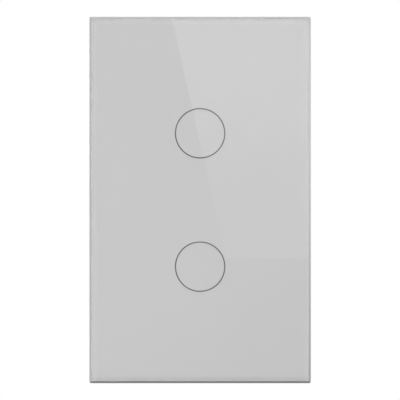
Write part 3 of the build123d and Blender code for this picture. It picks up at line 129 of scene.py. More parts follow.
def clouded(tree, place, low, high, size_mm, stretch=(1, 1, 1)):
    """A colour that drifts between two others over patches of this size."""
    moved = add(tree, "ShaderNodeMapping", {"Vector": place, "Scale": stretch})
    inputs = {"Vector": moved.outputs["Vector"], "Scale": per_metre(size_mm), "Detail": 3.0}
    noise = add(tree, "ShaderNodeTexNoise", inputs)
    ramp = add(tree, "ShaderNodeValToRGB", {"Fac": noise.outputs["Fac"]})
    ramp.color_ramp.elements[0].position = NOISE_LOW
    ramp.color_ramp.elements[1].position = NOISE_HIGH
    ramp.color_ramp.elements[0].color = linear(low)
    ramp.color_ramp.elements[1].color = linear(high)
    return ramp.outputs["Color"]


def grained(tree, place, size_mm, depth_mm, stretch=(1, 1, 1)):
    """A surface normal roughened by grains of this size and depth."""
    moved = add(tree, "ShaderNodeMapping", {"Vector": place, "Scale": stretch})
    inputs = {"Vector": moved.outputs["Vector"], "Scale": per_metre(size_mm), "Detail": 2.0}
    noise = add(tree, "ShaderNodeTexNoise", inputs)
    bump = {"Height": noise.outputs["Fac"], "Distance": depth_mm * MM, "Strength": 1.0}
    return add(tree, "ShaderNodeBump", bump).outputs["Normal"]


def varied(tree, place, low, high, size_mm, stretch=(1, 1, 1)):
    """A number, such as a roughness, that drifts between two others."""
    moved = add(tree, "ShaderNodeMapping", {"Vector": place, "Scale": stretch})
    inputs = {"Vector": moved.outputs["Vector"], "Scale": per_metre(size_mm)}
    noise = add(tree, "ShaderNodeTexNoise", inputs)
    inputs = {"Value": noise.outputs["Fac"], "To Min": low, "To Max": high}
    return add(tree, "ShaderNodeMapRange", inputs).outputs["Result"]


print("a grain of 0.2 mm has the scale", per_metre(0.2))

# %% [markdown]
# ## Toughened glass
#
# The panel is 4 mm soda-lime float glass. Its faces are fire-polished, so they mirror about 4% of
# what stands before them, and that weak reflection is what tells the eye that this is glass. Its
# edge and the bevels round its front were ground before toughening, and ground glass is a field of
# tiny chips that scatters light like frost. The CAD node has one material slot, so the frosting is
# chosen by the direction a face looks in: the polished front and back look along Y, and all the
# rest is ground. There the glass turns from clear to a rough grey, but only as seen from outside:
# light inside the glass still passes the edge, as it does through real frost.

# %% Glass
POLISHED_ABOVE = 0.9
CHIP_SIZE = 0.2
CHIP_PATCH = 0.3
CHIP_ROUGHNESS = (0.4, 0.6)
finishes = {}


def toughened_glass():
    """Clear and glossy where a face looks along Y, and ground grey everywhere else."""
    material, tree, shader, place = new_material("toughened_float_glass")
    face = add(tree, "ShaderNodeNewGeometry").outputs
    faces = add(tree, "ShaderNodeSeparateXYZ", {"Vector": face["True Normal"]})
    flat = add(tree, "ShaderNodeMath", {0: faces.outputs["Y"]}, operation="ABSOLUTE").outputs["Value"]
    inputs = {0: flat, 1: POLISHED_ABOVE}
    outside = add(tree, "ShaderNodeMath", inputs, operation="GREATER_THAN").outputs["Value"]
    inputs = {0: outside, 1: face["Backfacing"]}
    polished = add(tree, "ShaderNodeMath", inputs, operation="MAXIMUM").outputs["Value"]
    chips = varied(tree, place, *CHIP_ROUGHNESS, CHIP_SIZE)
    colour = add(tree, "ShaderNodeMix", {"Factor": polished}, data_type="RGBA")
    tree.links.new(clouded(tree, place, "656565", "6f6f6f", CHIP_PATCH), colour.inputs["A"])
    colour.inputs["B"].default_value = linear("ffffff")
    inputs = {"Value": polished, "To Min": chips, "To Max": 0.0}
    frost = add(tree, "ShaderNodeMapRange", inputs).outputs["Result"]
    settle(tree, shader, {
        "Base Color": colour.outputs["Result"],
        "Roughness": frost,
        "Transmission Weight": polished,
        "IOR": 1.52,
    })
    return material


finishes["glass"] = toughened_glass()
print("glass", finishes["glass"].name)

# %% [markdown]
# ## The print behind the glass
#
# Ceramic enamel is screen-printed on the back of the glass and fired. Seen through the glass it is
# an even, slightly cloudy grey with no gloss of its own, because it is in optical contact with the
# glass. The ring marks are gaps in that print, filled with a dark translucent ink that lets the
# light of the LEDs through and looks dark grey while they are off.
#
# A real ground edge also scatters room light inwards, which keeps the print bright right up to the
# rim at the left, the right and the top. The renderer's clear edge mirrors the print instead, which
# darkens the last 2.6 mm, so light is painted there: the enamel is drawn paler by as much. The lower
# rim stays dark, as in the photograph, because no light comes from below.

# %% Enamel print and ring ink
PAINTED_RIM_START = 2.6
PAINTED_RIM_FULL = 1.05
PRINT_PATCH = 0.5
INK_PATCH = 0.4


def enamel_print():
    """An even grey enamel, with painted light that draws it paler along the left, the right and the
    upper rim.
    """
    material, tree, shader, place = new_material("fired_enamel_print")
    half_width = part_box("glass_panel")[1][0]
    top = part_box("glass_panel")[1][2]
    spots = add(tree, "ShaderNodeSeparateXYZ", {"Vector": place}).outputs
    aside = add(tree, "ShaderNodeMath", {0: spots["X"]}, operation="ABSOLUTE").outputs["Value"]
    side = add(tree, "ShaderNodeMath", {0: half_width, 1: aside}, operation="SUBTRACT").outputs["Value"]
    upper = add(tree, "ShaderNodeMath", {0: top, 1: spots["Z"]}, operation="SUBTRACT").outputs["Value"]
    edge = add(tree, "ShaderNodeMath", {0: side, 1: upper}, operation="MINIMUM").outputs["Value"]
    inputs = {"Value": edge, "From Min": PAINTED_RIM_START * MM, "From Max": PAINTED_RIM_FULL * MM}
    painted_rim_light = add(tree, "ShaderNodeMapRange", inputs).outputs["Result"]
    # Painted light: the paler pair of greys fills the rim, and the darker pair is the print's own grey.
    colour = add(tree, "ShaderNodeMix", {"Factor": painted_rim_light}, data_type="RGBA")
    tree.links.new(clouded(tree, place, "bebebe", "c1c1c1", PRINT_PATCH), colour.inputs["A"])
    tree.links.new(clouded(tree, place, "cccccc", "cfcfcf", PRINT_PATCH), colour.inputs["B"])
    settle(tree, shader, {
        "Base Color": colour.outputs["Result"],
        "Roughness": 0.6,
    })
    return material


def screen_ink(name, low, high):
    """Ink that was screen-printed and cured: matt, with a faint cloudiness."""
    material, tree, shader, place = new_material(name)
    settle(tree, shader, {
        "Base Color": clouded(tree, place, low, high, INK_PATCH),
        "Roughness": 0.5,
    })
    return material


# Fired ceramic enamel: opaque, with no gloss of its own, and with painted light along its rim.
finishes["grey_print"] = enamel_print()
# Translucent ink over a dark gap: dark grey, and matt.
finishes["ring_ink"] = screen_ink("dark_translucent_ink", "383838", "404040")
print("print and ink", finishes["grey_print"].name, finishes["ring_ink"].name)

# %% [markdown]
# ## Moulded plastics
#
# Nearly every plastic piece here is moulded, and they differ in colour, gloss and grain. The
# carrier, frame and housing come from a spark-eroded mould and are matt; the relay cases, the
# milky light guides and the film capacitor come from a polished one. The varistor's dipped coat and
# the capacitors' shrink sleeve have the same two patterns at other sizes. So one function takes the
# colours, the roughness and the grain, and each finish is named for its real plastic.
#
# The grain of a real mould is about 0.05 mm, too fine to show at this size, so it is drawn at
# 0.2 mm or more.

# %% Moulded plastics
PIGMENT_PATCH = 6.0
GLOSS_PATCH = 3.0
PLASTIC_GLOSS_DRIFT = 0.04
CHIP_EPOXY = ("232326", "2e2e31")
DARK_SLEEVE = ("17233b", "1f2d49")


def moulded(name, low, high, roughness, grain_mm, depth_mm):
    """A moulded plastic with a cloudy pigment and the mould's grain, of this size and depth."""
    material, tree, shader, place = new_material(name)
    smoothest = roughness - PLASTIC_GLOSS_DRIFT
    roughest = roughness + PLASTIC_GLOSS_DRIFT
    settle(tree, shader, {
        "Base Color": clouded(tree, place, low, high, PIGMENT_PATCH),
        "Roughness": varied(tree, place, smoothest, roughest, GLOSS_PATCH),
        "IOR": 1.53,
        "Normal": grained(tree, place, grain_mm, depth_mm),
    })
    return material


# Each finish has its two colours, its roughness, and its grain's size and depth in millimetres.
# Pale grey ABS of the carrier, a shade darker than the housing, with a fine satin grain.
finishes["pale_plastic"] = moulded("pale_grey_abs", "cfcfcd", "d4d4d2", 0.45, 0.25, 0.006)
# White flame-retardant polycarbonate: brighter, slightly warm, matt.
finishes["white_plastic"] = moulded("white_polycarbonate", "e1e0dc", "e7e6e2", 0.5, 0.25, 0.008)
# Clear-milky polycarbonate of the light guides: a polished mould, so almost glossy.
finishes["milky_plastic"] = moulded("milky_polycarbonate", "dcdcd6", "e4e4de", 0.22, 0.8, 0.002)
# Black glass-filled nylon of connectors and the transformer's spool: a dry, slightly streaky black.
finishes["black_plastic"] = moulded("black_glass_filled_nylon", "1b1b1c", "242425", 0.5, 0.2, 0.006)
# Moulding epoxy of chips: a grey-black with a fine speckle from its silica filler.
finishes["chip_epoxy"] = moulded("chip_moulding_epoxy", *CHIP_EPOXY, 0.55, 0.2, 0.004)
# Blue PBT of the relay cases, from a polished mould.
finishes["relay_case"] = moulded("blue_relay_pbt", "1d4f9c", "2459a8", 0.28, 0.8, 0.002)
# Natural nylon of the relay spools: ivory and a little waxy.
finishes["bobbin_plastic"] = moulded("natural_nylon", "e0dac7", "e8e3d2", 0.38, 0.4, 0.004)
# Yellow flame-retardant case of the film capacitor.
finishes["film_case"] = moulded("yellow_film_capacitor_case", "d9b32c", "e2bd3a", 0.35, 0.4, 0.004)
# Brown case of the fuse.
finishes["fuse_case"] = moulded("brown_fuse_case", "4d2f1c", "5a3823", 0.42, 0.4, 0.004)
# Green nylon of the terminal block, matt from its glass fibres.
finishes["terminal_plastic"] = moulded("green_terminal_nylon", "2f6b41", "38774a", 0.5, 0.25, 0.006)
# White LED package; the phosphor over the die makes it yellowish.
finishes["led_package"] = moulded("led_package_with_phosphor", "efe7b4", "f7f1d2", 0.3, 0.3, 0.002)
# Blue epoxy that the varistor was dipped in: thick, glossy and a little uneven.
finishes["varistor_blue"] = moulded("dipped_blue_epoxy", "16509a", "2263ad", 0.2, 2.0, 0.03)
# Shrink sleeve of the electrolytic capacitors: dark, smooth PVC.
finishes["can_sleeve"] = moulded("dark_shrink_sleeve", *DARK_SLEEVE, 0.3, 1.5, 0.01)
print("finishes so far", len(finishes))

# %% [markdown]
# ## Metals
#
# A metal has no diffuse colour: its base colour is the tint of its reflection, its metallic value
# is one, and its IOR stays at the shader's default. What separates a rolled steel strap from a
# nickel-plated screw is roughness and its direction. Rolling and brushing stretch the grain along
# one axis, so the noise is scaled down along that axis.

# %% Metals
TINT_PATCH = 4.0
METAL_GLOSS_DRIFT = 0.07


def metal(name, low, high, roughness, streak, streak_mm, depth_mm):
    """A bare or plated metal whose grain is stretched by the streak factors."""
    material, tree, shader, place = new_material(name)
    smoothest = roughness - METAL_GLOSS_DRIFT
    roughest = roughness + METAL_GLOSS_DRIFT
    settle(tree, shader, {
        "Base Color": clouded(tree, place, low, high, TINT_PATCH, streak),
        "Metallic": 1.0,
        "Roughness": varied(tree, place, smoothest, roughest, streak_mm, streak),
        "Normal": grained(tree, place, streak_mm, depth_mm, streak),
    })
    return material


# Each finish has its two tints, its roughness, its streaks, and its grain's size and depth.
EVEN = (1, 1, 1)
# Zinc-plated cold-rolled steel: blue-white, rolled along the yoke's length.
along_yoke = (1, 1, 0.08)
finishes["zinc_steel"] = metal("zinc_plated_steel", "b9bdc0", "cacdcf", 0.34, along_yoke, 0.4, 0.003)
# Stainless spring strip: smoother, and rolled along the clip.
along_clip = (1, 0.1, 1)
finishes["spring_steel"] = metal(
    "stainless_spring_strip", "b4b2ad", "c4c2bd", 0.26, along_clip, 0.3, 0.002
)
# Nickel plate on the screws: bright and a little warm.
finishes["screw_steel"] = metal("nickel_plated_screw", "bdb8ad", "cfcabf", 0.22, EVEN, 0.5, 0.003)
# Tin plate of the radio module's can, rolled across it.
across_can = (0.2, 1, 1)
finishes["shield"] = metal("tin_plated_can", "c6c6c3", "d4d4d1", 0.3, across_can, 0.5, 0.003)
# Gold flash over nickel on the connector's pins and the touch springs.
finishes["gold_pins"] = metal("gold_flash", "d8b04c", "e6c46a", 0.24, EVEN, 0.4, 0.002)
# Brass of the terminal bars and the relay contacts, with its streaks upright.
along_bar = (1, 1, 0.15)
finishes["brass"] = metal("bright_brass", "c9a24f", "d8b565", 0.28, along_bar, 0.4, 0.003)
# Nickel-plated soft iron of the relay's frame and armature: dull, from barrel plating.
finishes["relay_iron"] = metal("barrel_plated_iron", "a8a59c", "b9b6ad", 0.4, EVEN, 0.4, 0.004)
print("finishes so far", len(finishes))

# %% [markdown]
# ## Wound wire and tape
#
# The windings are solids in the CAD model, and their wire is a pattern: bands that run round the
# spool, one for each turn, with painted shade darkening the groove between each two. Real enamelled
# wire here is about 0.1 mm, which would blur into one tone, so the bands are drawn 0.3 mm apart.
# Bands across Y on a spool that stands along Y are exactly the turns. The transformer's winding is
# wrapped in polyester tape, whose edges show as wider steps.

# %% Windings
# Blender's wave texture repeats every 2 pi / 20 of its own units.
WAVE_PERIOD = 2 * pi / 20


def wound(name, shaded_groove, crest, pitch_mm, roughness, metallic, depth_mm):
    """Turns of wire or tape round a spool that stands along Y, with painted shade in the grooves
    between them.
    """
    material, tree, shader, place = new_material(name)
    inputs = {
        "Vector": place,
        "Scale": per_metre(pitch_mm) * WAVE_PERIOD,
        "Distortion": 0.4,
        "Detail": 1.0,
    }
    turns = add(tree, "ShaderNodeTexWave", inputs, bands_direction="Y", wave_profile="SIN")
    ramp = add(tree, "ShaderNodeValToRGB", {"Fac": turns.outputs["Fac"]})
    # The first, darker colour is painted shade in the grooves, and the second is the crest's own
    # colour.
    ramp.color_ramp.elements[0].color = linear(shaded_groove)
    ramp.color_ramp.elements[1].color = linear(crest)
    bump = add(tree, "ShaderNodeBump", {"Height": turns.outputs["Fac"], "Distance": depth_mm * MM})
    settle(tree, shader, {
        "Base Color": ramp.outputs["Color"],
        "Metallic": metallic,
        "Roughness": roughness,
        "Normal": bump.outputs["Normal"],
    })
    return material


# Each finish has its two colours, its pitch, its roughness, its metallic value and its depth.
# Copper wire under clear enamel: a warm metal, with painted shade darkening the grooves between the
# turns.
finishes["copper_wire"] = wound("enamelled_copper_wire", "5f2713", "c0673a", 0.3, 0.3, 1.0, 0.1)
# Polyester tape: a smooth yellow film whose overlaps show as steps, with painted shade in the grooves
# between its bands.
finishes["yellow_tape"] = wound("polyester_winding_tape", "c39a1f", "e3bf3c", 2.2, 0.25, 0.0, 0.05)
print("windings", finishes["copper_wire"].name, finishes["yellow_tape"].name)

# %% [markdown]
# ## Ceramics and foam
#
# Ferrite is a ceramic pressed from iron oxide powder and ground flat: dark grey, with a fine
# sparkle. Ceramic chip capacitors are a fired tan. The tape under the glass is black acrylic foam,
# which shows its cells on the cut edge.

# %% Ceramics and foam
GRIND_DEPTH = 0.01
FOAM_CELL = 0.15
FOAM_DEPTH = 0.05
FOAM_PATCH = 0.5
TAN_CERAMIC = ("9c7c55", "ad8d66")


def fired(name, low, high, roughness, grain_mm):
    """A sintered ceramic with a fine, hard grain."""
    material, tree, shader, place = new_material(name)
    settle(tree, shader, {
        "Base Color": clouded(tree, place, low, high, grain_mm),
        "Roughness": roughness,
        "Normal": grained(tree, place, grain_mm, GRIND_DEPTH),
    })
    return material


def foam():
    """Black foam with open cells."""
    material, tree, shader, place = new_material("black_acrylic_foam")
    cells = add(tree, "ShaderNodeTexVoronoi", {"Vector": place, "Scale": per_metre(FOAM_CELL)})
    inputs = {"Height": cells.outputs["Distance"], "Distance": FOAM_DEPTH * MM}
    bump = add(tree, "ShaderNodeBump", inputs)
    settle(tree, shader, {
        "Base Color": clouded(tree, place, "161616", "222222", FOAM_PATCH),
        "Roughness": 0.85,
        "Normal": bump.outputs["Normal"],
    })
    return material


# Ground ferrite: dark grey and half matt, with a coarse sparkle.
finishes["ferrite"] = fired("ground_ferrite", "2b2b2d", "3a3a3c", 0.5, 0.25)
# Fired capacitor ceramic: tan, dense and a little smoother.
finishes["chip_ceramic"] = fired("tan_capacitor_ceramic", *TAN_CERAMIC, 0.45, 0.2)
# Acrylic foam: almost black and quite dull.
finishes["foam_tape"] = foam()
print("finishes so far", len(finishes))

# %% [markdown]
# ## Circuit board tracks
#
# A board is glass-fibre laminate with copper under a tinted lacquer, the solder mask. The tracks
# are lines of that copper. A brick pattern gives them: its mortar is the track. A noise that is
# stretched along the lines breaks them up, as real tracks start and end at their parts.

# %% Tracks
TRACK_WIDTH = 0.3
TRACK_BLUR = 0.1
ROWS_PER_RUN = 6.5
BREAK_STRETCH = (0.25, 1, 1)
BREAK_SIZE = 2.0
NOISE_MIDDLE = 0.5


def tracks(tree, flat, row_mm):
    """Broken lines along the flat pattern's X, this far apart."""
    inputs = {
        "Vector": flat,
        "Scale": 1.0,
        "Mortar Size": TRACK_WIDTH / 2 * MM,
        "Mortar Smooth": TRACK_BLUR,
        "Brick Width": ROWS_PER_RUN * row_mm * MM,
        "Row Height": row_mm * MM,
    }
    lines = add(tree, "ShaderNodeTexBrick", inputs).outputs["Fac"]
    stretched = add(tree, "ShaderNodeMapping", {"Vector": flat, "Scale": BREAK_STRETCH})
    inputs = {"Vector": stretched.outputs["Vector"], "Scale": per_metre(BREAK_SIZE)}
    noise = add(tree, "ShaderNodeTexNoise", inputs).outputs["Fac"]
    inputs = {0: noise, 1: NOISE_MIDDLE}
    kept = add(tree, "ShaderNodeMath", inputs, operation="GREATER_THAN").outputs["Value"]
    return add(tree, "ShaderNodeMath", {0: lines, 1: kept}, operation="MULTIPLY").outputs["Value"]


print("tracks", TRACK_WIDTH, "mm wide")

# %% [markdown]
# ## Circuit boards
#
# Two layers of tracks at right angles read as routing. Part of the copper is one large ground area,
# made by cells with square sides, in which the tracks are cut free by dark gaps. The small dots are
# vias, the plated holes between the board's two sides. Under the lacquer the copper shows as a
# slightly lighter green that stands 0.035 mm proud, so one mask drives the colour and the bump.

# %% Circuit boards
GROUND_PATCH = 9.0
VIA_CELL = 4.0
VIA_RADIUS = 0.3
COPPER_THICKNESS = 0.035
LACQUER_PATCH = 8.0
# Each layer's turn and the distance between its rows.
TRACK_LAYERS = ((0.0, 1.6), (pi / 2, 2.3))


def board(name, mask, copper, gloss):
    """Solder mask over a ground area, tracks and vias."""
    material, tree, shader, place = new_material(name)
    layers = []
    for turn, row_mm in TRACK_LAYERS:
        inputs = {"Vector": place, "Rotation": (pi / 2, 0.0, turn)}
        flat = add(tree, "ShaderNodeMapping", inputs).outputs["Vector"]
        layers.append(tracks(tree, flat, row_mm))
    inputs = {0: layers[0], 1: layers[1]}
    net = add(tree, "ShaderNodeMath", inputs, operation="MAXIMUM").outputs["Value"]
    # The ground area and the vias lie flat on the board as the last layer does.
    inputs = {"Vector": flat, "Scale": per_metre(GROUND_PATCH)}
    square = {"voronoi_dimensions": "2D", "distance": "CHEBYCHEV"}
    patches = add(tree, "ShaderNodeTexVoronoi", inputs, **square).outputs["Color"]
    inputs = {0: patches, 1: NOISE_MIDDLE}
    ground = add(tree, "ShaderNodeMath", inputs, operation="GREATER_THAN").outputs["Value"]
    cut = add(tree, "ShaderNodeMath", {0: ground, 1: net}, operation="SUBTRACT").outputs["Value"]
    routed = add(tree, "ShaderNodeMath", {0: cut}, operation="ABSOLUTE").outputs["Value"]
    inputs = {"Vector": flat, "Scale": per_metre(VIA_CELL)}
    cells = add(tree, "ShaderNodeTexVoronoi", inputs, voronoi_dimensions="2D").outputs["Distance"]
    inputs = {0: cells, 1: VIA_RADIUS / VIA_CELL}
    via = add(tree, "ShaderNodeMath", inputs, operation="LESS_THAN").outputs["Value"]
    raised = add(tree, "ShaderNodeMath", {0: routed, 1: via}, operation="MAXIMUM").outputs["Value"]
    colour = add(tree, "ShaderNodeMix", {"Factor": raised}, data_type="RGBA")
    tree.links.new(clouded(tree, place, *mask, LACQUER_PATCH), colour.inputs["A"])
    tree.links.new(clouded(tree, place, *copper, LACQUER_PATCH), colour.inputs["B"])
    bump = add(tree, "ShaderNodeBump", {"Height": raised, "Distance": COPPER_THICKNESS * MM})
    settle(tree, shader, {
        "Base Color": colour.outputs["Result"],
        "Roughness": gloss,
        "Normal": bump.outputs["Normal"],
    })
    return material


# Green lacquer of the two main boards: glossy, over copper of a lighter green.
green = (("114a29", "15532f"), ("1c6638", "22703f"))
finishes["circuit_board"] = board("green_solder_mask", *green, 0.3)
# Black lacquer of the radio module, which hides its copper almost entirely.
black = (("0f1312", "141918"), ("1e2623", "262f2b"))
finishes["radio_board"] = board("black_solder_mask", *black, 0.32)
print("finishes", len(finishes))

# %% [markdown]
# ## Dressing the CAD nodes
#
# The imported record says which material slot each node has, so one loop gives every node its
# finish. The node's mesh isn't touched: only the material in its object's slot changes.

# %% Assign the finishes
slot_of = {part["node"]: part["material_slot"] for part in frame["record"]["subparts"]}
for name, node in frame["nodes"].items():
    for holder in node.material_slots:
        holder.material = finishes[slot_of[name]]
print("dressed", len(slot_of))

# %% [markdown]
# ## Tinned legs, ends and lids
#
# Some nodes are two materials in one: a chip's legs are tinned copper, a chip capacitor has a tin
# cap at each end, and an electrolytic can is bare aluminium where its sleeve stops. A node has one
# slot, so each of these gets a finish of its own that turns to metal beyond a distance from the
# middle of its body, measured from the node's box.

# %% Tinned legs, ends and lids
CHIP_LEG_REACH = 1.0
CAP_BODY_HALF = 0.5
CAP_HALF = 0.8
LID_DEPTH = 0.02
BODY_PATCH = 0.6
TIN_ROUGHNESS = 0.3
TIN_GRAIN = 0.4
TIN_DEPTH = 0.002


def tinned_beyond(node, finish, low, high, gloss, axis, middle, half):
    """Dresses a node's body, which turns to bare metal further than half from the middle."""
    material, tree, shader, place = new_material(f"{node}.{finish}")
    spot = add(tree, "ShaderNodeSeparateXYZ", {"Vector": place}).outputs[axis]
    # Across X the small parts stand in two columns, as far left of the middle as right of it.
    if axis == "X":
        spot = add(tree, "ShaderNodeMath", {0: spot}, operation="ABSOLUTE").outputs["Value"]
    inputs = {0: spot, 1: middle, 2: half}
    body = add(tree, "ShaderNodeMath", inputs, operation="COMPARE").outputs["Value"]
    bare = add(tree, "ShaderNodeMath", {0: 1.0, 1: body}, operation="SUBTRACT").outputs["Value"]
    colour = add(tree, "ShaderNodeMix", {"Factor": body}, data_type="RGBA")
    tree.links.new(clouded(tree, place, "c4c4c1", "d3d3d0", BODY_PATCH), colour.inputs["A"])
    tree.links.new(clouded(tree, place, low, high, BODY_PATCH), colour.inputs["B"])
    inputs = {"Value": body, "To Min": TIN_ROUGHNESS, "To Max": gloss}
    settle(tree, shader, {
        "Base Color": colour.outputs["Result"],
        "Metallic": bare,
        "Roughness": add(tree, "ShaderNodeMapRange", inputs).outputs["Result"],
        "Normal": grained(tree, place, TIN_GRAIN, TIN_DEPTH),
    })
    for holder in frame["nodes"][node].material_slots:
        holder.material = material
    print(node, "bare beyond", round(half / MM, 2), "mm from", round(middle / MM, 2), "along", axis)


# Chips: black epoxy between two rows of tinned legs.
for node in ("touch_controller", "bridge_rectifier", "converter_chip"):
    low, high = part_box(node)
    middle = (low[2] + high[2]) / 2
    half = (high[2] - low[2]) / 2 - CHIP_LEG_REACH * MM
    tinned_beyond(node, "epoxy_and_tin", *CHIP_EPOXY, 0.55, "Z", middle, half)
# Electrolytic capacitors: a dark sleeve that stops just short of the bare aluminium lid.
for node in ("bulk_capacitors", "output_capacitor"):
    low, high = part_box(node)
    middle = (low[1] + high[1]) / 2
    half = (high[1] - low[1]) / 2 - LID_DEPTH * MM
    tinned_beyond(node, "sleeve_and_lid", *DARK_SLEEVE, 0.3, "Y", middle, half)
# Small parts: a tan body between two caps of tin.
node = "touch_board_passives"
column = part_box(node)[1][0] - CAP_HALF * MM
half = CAP_BODY_HALF * MM
tinned_beyond(node, "ceramic_and_tin", *TAN_CERAMIC, 0.45, "X", column, half)

# %% [markdown]
# ## Relief pieces
#
# The pieces that are made here are thin relief on the CAD model's faces: numbers and outlines that
# stand a little proud. Blender's text is a curve, so a number is drawn flat, given its depth, made
# a mesh, and only then turned and moved to its spot. All the shapes of one piece gather in one
# bmesh, which is closed and made an object that rides on the fixed body.

# %% Relief helpers
SEAM = 0.001


def link(thing):
    """Puts an object into the scene and returns it."""
    bpy.context.scene.collection.objects.link(thing)
    return thing


def add_number(relief, number, size, depth, facing, spot):
    """Adds a solid number of this size and depth to the relief, with its middle at the spot."""
    words = bpy.data.curves.new("number", "FONT")
    words.body = str(number)
    words.size = size
    words.extrude = depth / 2
    words.align_x = "CENTER"
    words.align_y = "CENTER"
    writer = link(bpy.data.objects.new("number", words))
    drawn = writer.evaluated_get(bpy.context.evaluated_depsgraph_get())
    figure = bpy.data.meshes.new_from_object(drawn)
    figure.transform(Matrix.Translation(spot) @ Matrix.Scale(MM, 4) @ facing)
    relief.from_mesh(figure)
    bpy.data.objects.remove(writer)


def finished(relief, name, material):
    """Closes a relief's seams and makes it a piece of the base."""
    bmesh.ops.remove_doubles(relief, verts=relief.verts, dist=SEAM * MM)
    bmesh.ops.recalc_face_normals(relief, faces=relief.faces)
    mesh = bpy.data.meshes.new(name)
    relief.to_mesh(mesh)
    relief.free()
    mesh.materials.append(material)
    piece = link(bpy.data.objects.new(name, mesh))
    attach(piece, "base")
    print(name, len(mesh.polygons), "faces")


# %% [markdown]
# ## Numbers beside the clamps
#
# An electrician has to tell the four clamps apart, so the housing's mould leaves a raised number
# over each hole for the screwdriver. They are real relief, 0.2 mm proud of the step, and are rolled
# over with the dark ink of the ring marks, because white on white can't be read. They read from
# behind the switch, where the reader's right is the model's left.

# %% Clamp numbers
CLAMPS = 4
NUMBER_SIZE = 3.0
NUMBER_PROUD = 0.2
NUMBER_SINK = 0.05
# The height of the row of numbers, and the housing's step face that they stand on.
NUMBER_LEVEL = -22.45
STEP_FACE = 21.6
# Turns flat text so that it stands up and faces away from the panel.
READ_FROM_BEHIND = Matrix(((-1, 0, 0, 0), (0, 0, 1, 0), (0, 1, 0, 0), (0, 0, 0, 1)))

relief = bmesh.new()
for clamp in range(1, CLAMPS + 1):
    low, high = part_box(f"terminal_screw_{clamp}")
    middle = STEP_FACE + (NUMBER_PROUD - NUMBER_SINK) / 2
    spot = Vector(((low[0] + high[0]) / 2, middle * MM, NUMBER_LEVEL * MM))
    add_number(relief, clamp, NUMBER_SIZE, NUMBER_PROUD + NUMBER_SINK, READ_FROM_BEHIND, spot)
finished(relief, "clamp_numbers", finishes["ring_ink"])

# %% [markdown]
# ## Layers on the touch board
#
# Ink and tin lie on a board as thin layers with sharp outlines. An outline starts as one flat face,
# is inset by the line's width and loses its middle, so that a band is left. All the bands of one
# layer are drawn flat, get their thickness at once, and are then stood up against the board's face.

# %% Layers
LEGEND_LINE = 0.2
LEGEND_MARGIN = 0.5
LAYER_SINK = 0.02
ROUND_SEGMENTS = 96
READ_FROM_FRONT = Matrix.Rotation(pi / 2, 4, "X")
BOARD_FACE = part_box("touch_board")[0][1]


def band(sheet, made, centre, half_size, width):
    """Puts a flat face of unit size in its place, in metres, and leaves a band along its edge."""
    corners = made["verts"]
    bmesh.ops.scale(sheet, verts=corners, vec=(*half_size, 1.0))
    bmesh.ops.translate(sheet, verts=corners, vec=(*centre, 0.0))
    face = corners[0].link_faces[0]
    bmesh.ops.inset_region(
        sheet, faces=[face], thickness=width * MM, use_boundary=True, use_even_offset=True
    )
    bmesh.ops.delete(sheet, geom=[face], context="FACES_ONLY")


def box_outline(sheet, low, high):
    """A line round a box seen from the front, a margin away from it."""
    made = bmesh.ops.create_grid(sheet, x_segments=1, y_segments=1, size=1.0)
    half = [(high[axis] - low[axis]) / 2 + LEGEND_MARGIN * MM for axis in (0, 2)]
    band(sheet, made, [(low[axis] + high[axis]) / 2 for axis in (0, 2)], half, LEGEND_LINE)


def circle_outline(sheet, centre, radius, width):
    """A line of this width inside a circle."""
    made = bmesh.ops.create_circle(sheet, cap_ends=True, segments=ROUND_SEGMENTS, radius=1.0)
    band(sheet, made, centre, (radius, radius), width)


def layer(sheet, proud):
    """Stands the flat bands up on the board's face, this much proud of it."""
    whole = (proud + LAYER_SINK) * MM
    bmesh.ops.recalc_face_normals(sheet, faces=sheet.faces)
    bmesh.ops.solidify(sheet, geom=sheet.faces[:], thickness=whole)
    lift = max(vert.co.z for vert in sheet.verts) - proud * MM
    bmesh.ops.translate(sheet, verts=sheet.verts, vec=(0.0, 0.0, -lift))
    onto_board = Matrix.Translation((0, BOARD_FACE, 0)) @ READ_FROM_FRONT
    bmesh.ops.transform(sheet, verts=sheet.verts, matrix=onto_board)


print("the board's face is at y =", round(BOARD_FACE / MM, 2), "mm")

# %% [markdown]
# ## Legend of the touch board
#
# White epoxy ink is printed on a board last of all: an outline for each part, a line round each
# light guide, and here a plain number for each ring. Each outline is measured from the box of the
# part that it goes round, so it stays with its part.

# %% Legend
LEGEND_NUMBER_SIZE = 3.4
LEGEND_NUMBER_GAP = 3.2
INK_PROUD = 0.02
PASSIVE_HALF_WIDTH = 0.4

legend = bmesh.new()
box_outline(legend, *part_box("touch_controller"))
box_outline(legend, *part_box("board_header"))
low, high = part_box("touch_board_passives")
part_half = (high[0] - column, 0.0, PASSIVE_HALF_WIDTH * MM)
for side in (-1, 1):
    for row in (low[2] + part_half[2], 0.0, high[2] - part_half[2]):
        spot = Vector((side * column, 0.0, row))
        box_outline(legend, spot - Vector(part_half), spot + Vector(part_half))
guides = ("light_guide_upper", "light_guide_lower")
for name in guides:
    low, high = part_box(name)
    radius = (high[0] - low[0]) / 2 + LEGEND_MARGIN * MM
    circle_outline(legend, (0.0, (low[2] + high[2]) / 2), radius, LEGEND_LINE)
layer(legend, INK_PROUD)
for number, name in enumerate(guides, 1):
    low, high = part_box(name)
    middle = BOARD_FACE - (INK_PROUD - LAYER_SINK) / 2 * MM
    spot = Vector((high[0] + LEGEND_NUMBER_GAP * MM, middle, (low[2] + high[2]) / 2))
    add_number(legend, number, LEGEND_NUMBER_SIZE, INK_PROUD + LAYER_SINK, READ_FROM_FRONT, spot)
# White epoxy ink: matt and opaque.
white_ink = screen_ink("white_epoxy_ink", "e6e6e2", "efefeb")
finished(legend, "board_legend", white_ink)

# %% [markdown]
# ## Screw pads
#
# Round each screw the lacquer is left open over a tinned ring of copper, on which the screw's head
# presses. The rings reach 0.7 mm out from under the heads, and as far in under them.

# %% Screw pads
SCREW_HEAD = 1.7
PAD_REACH = 0.7
PAD_PROUD = 0.035

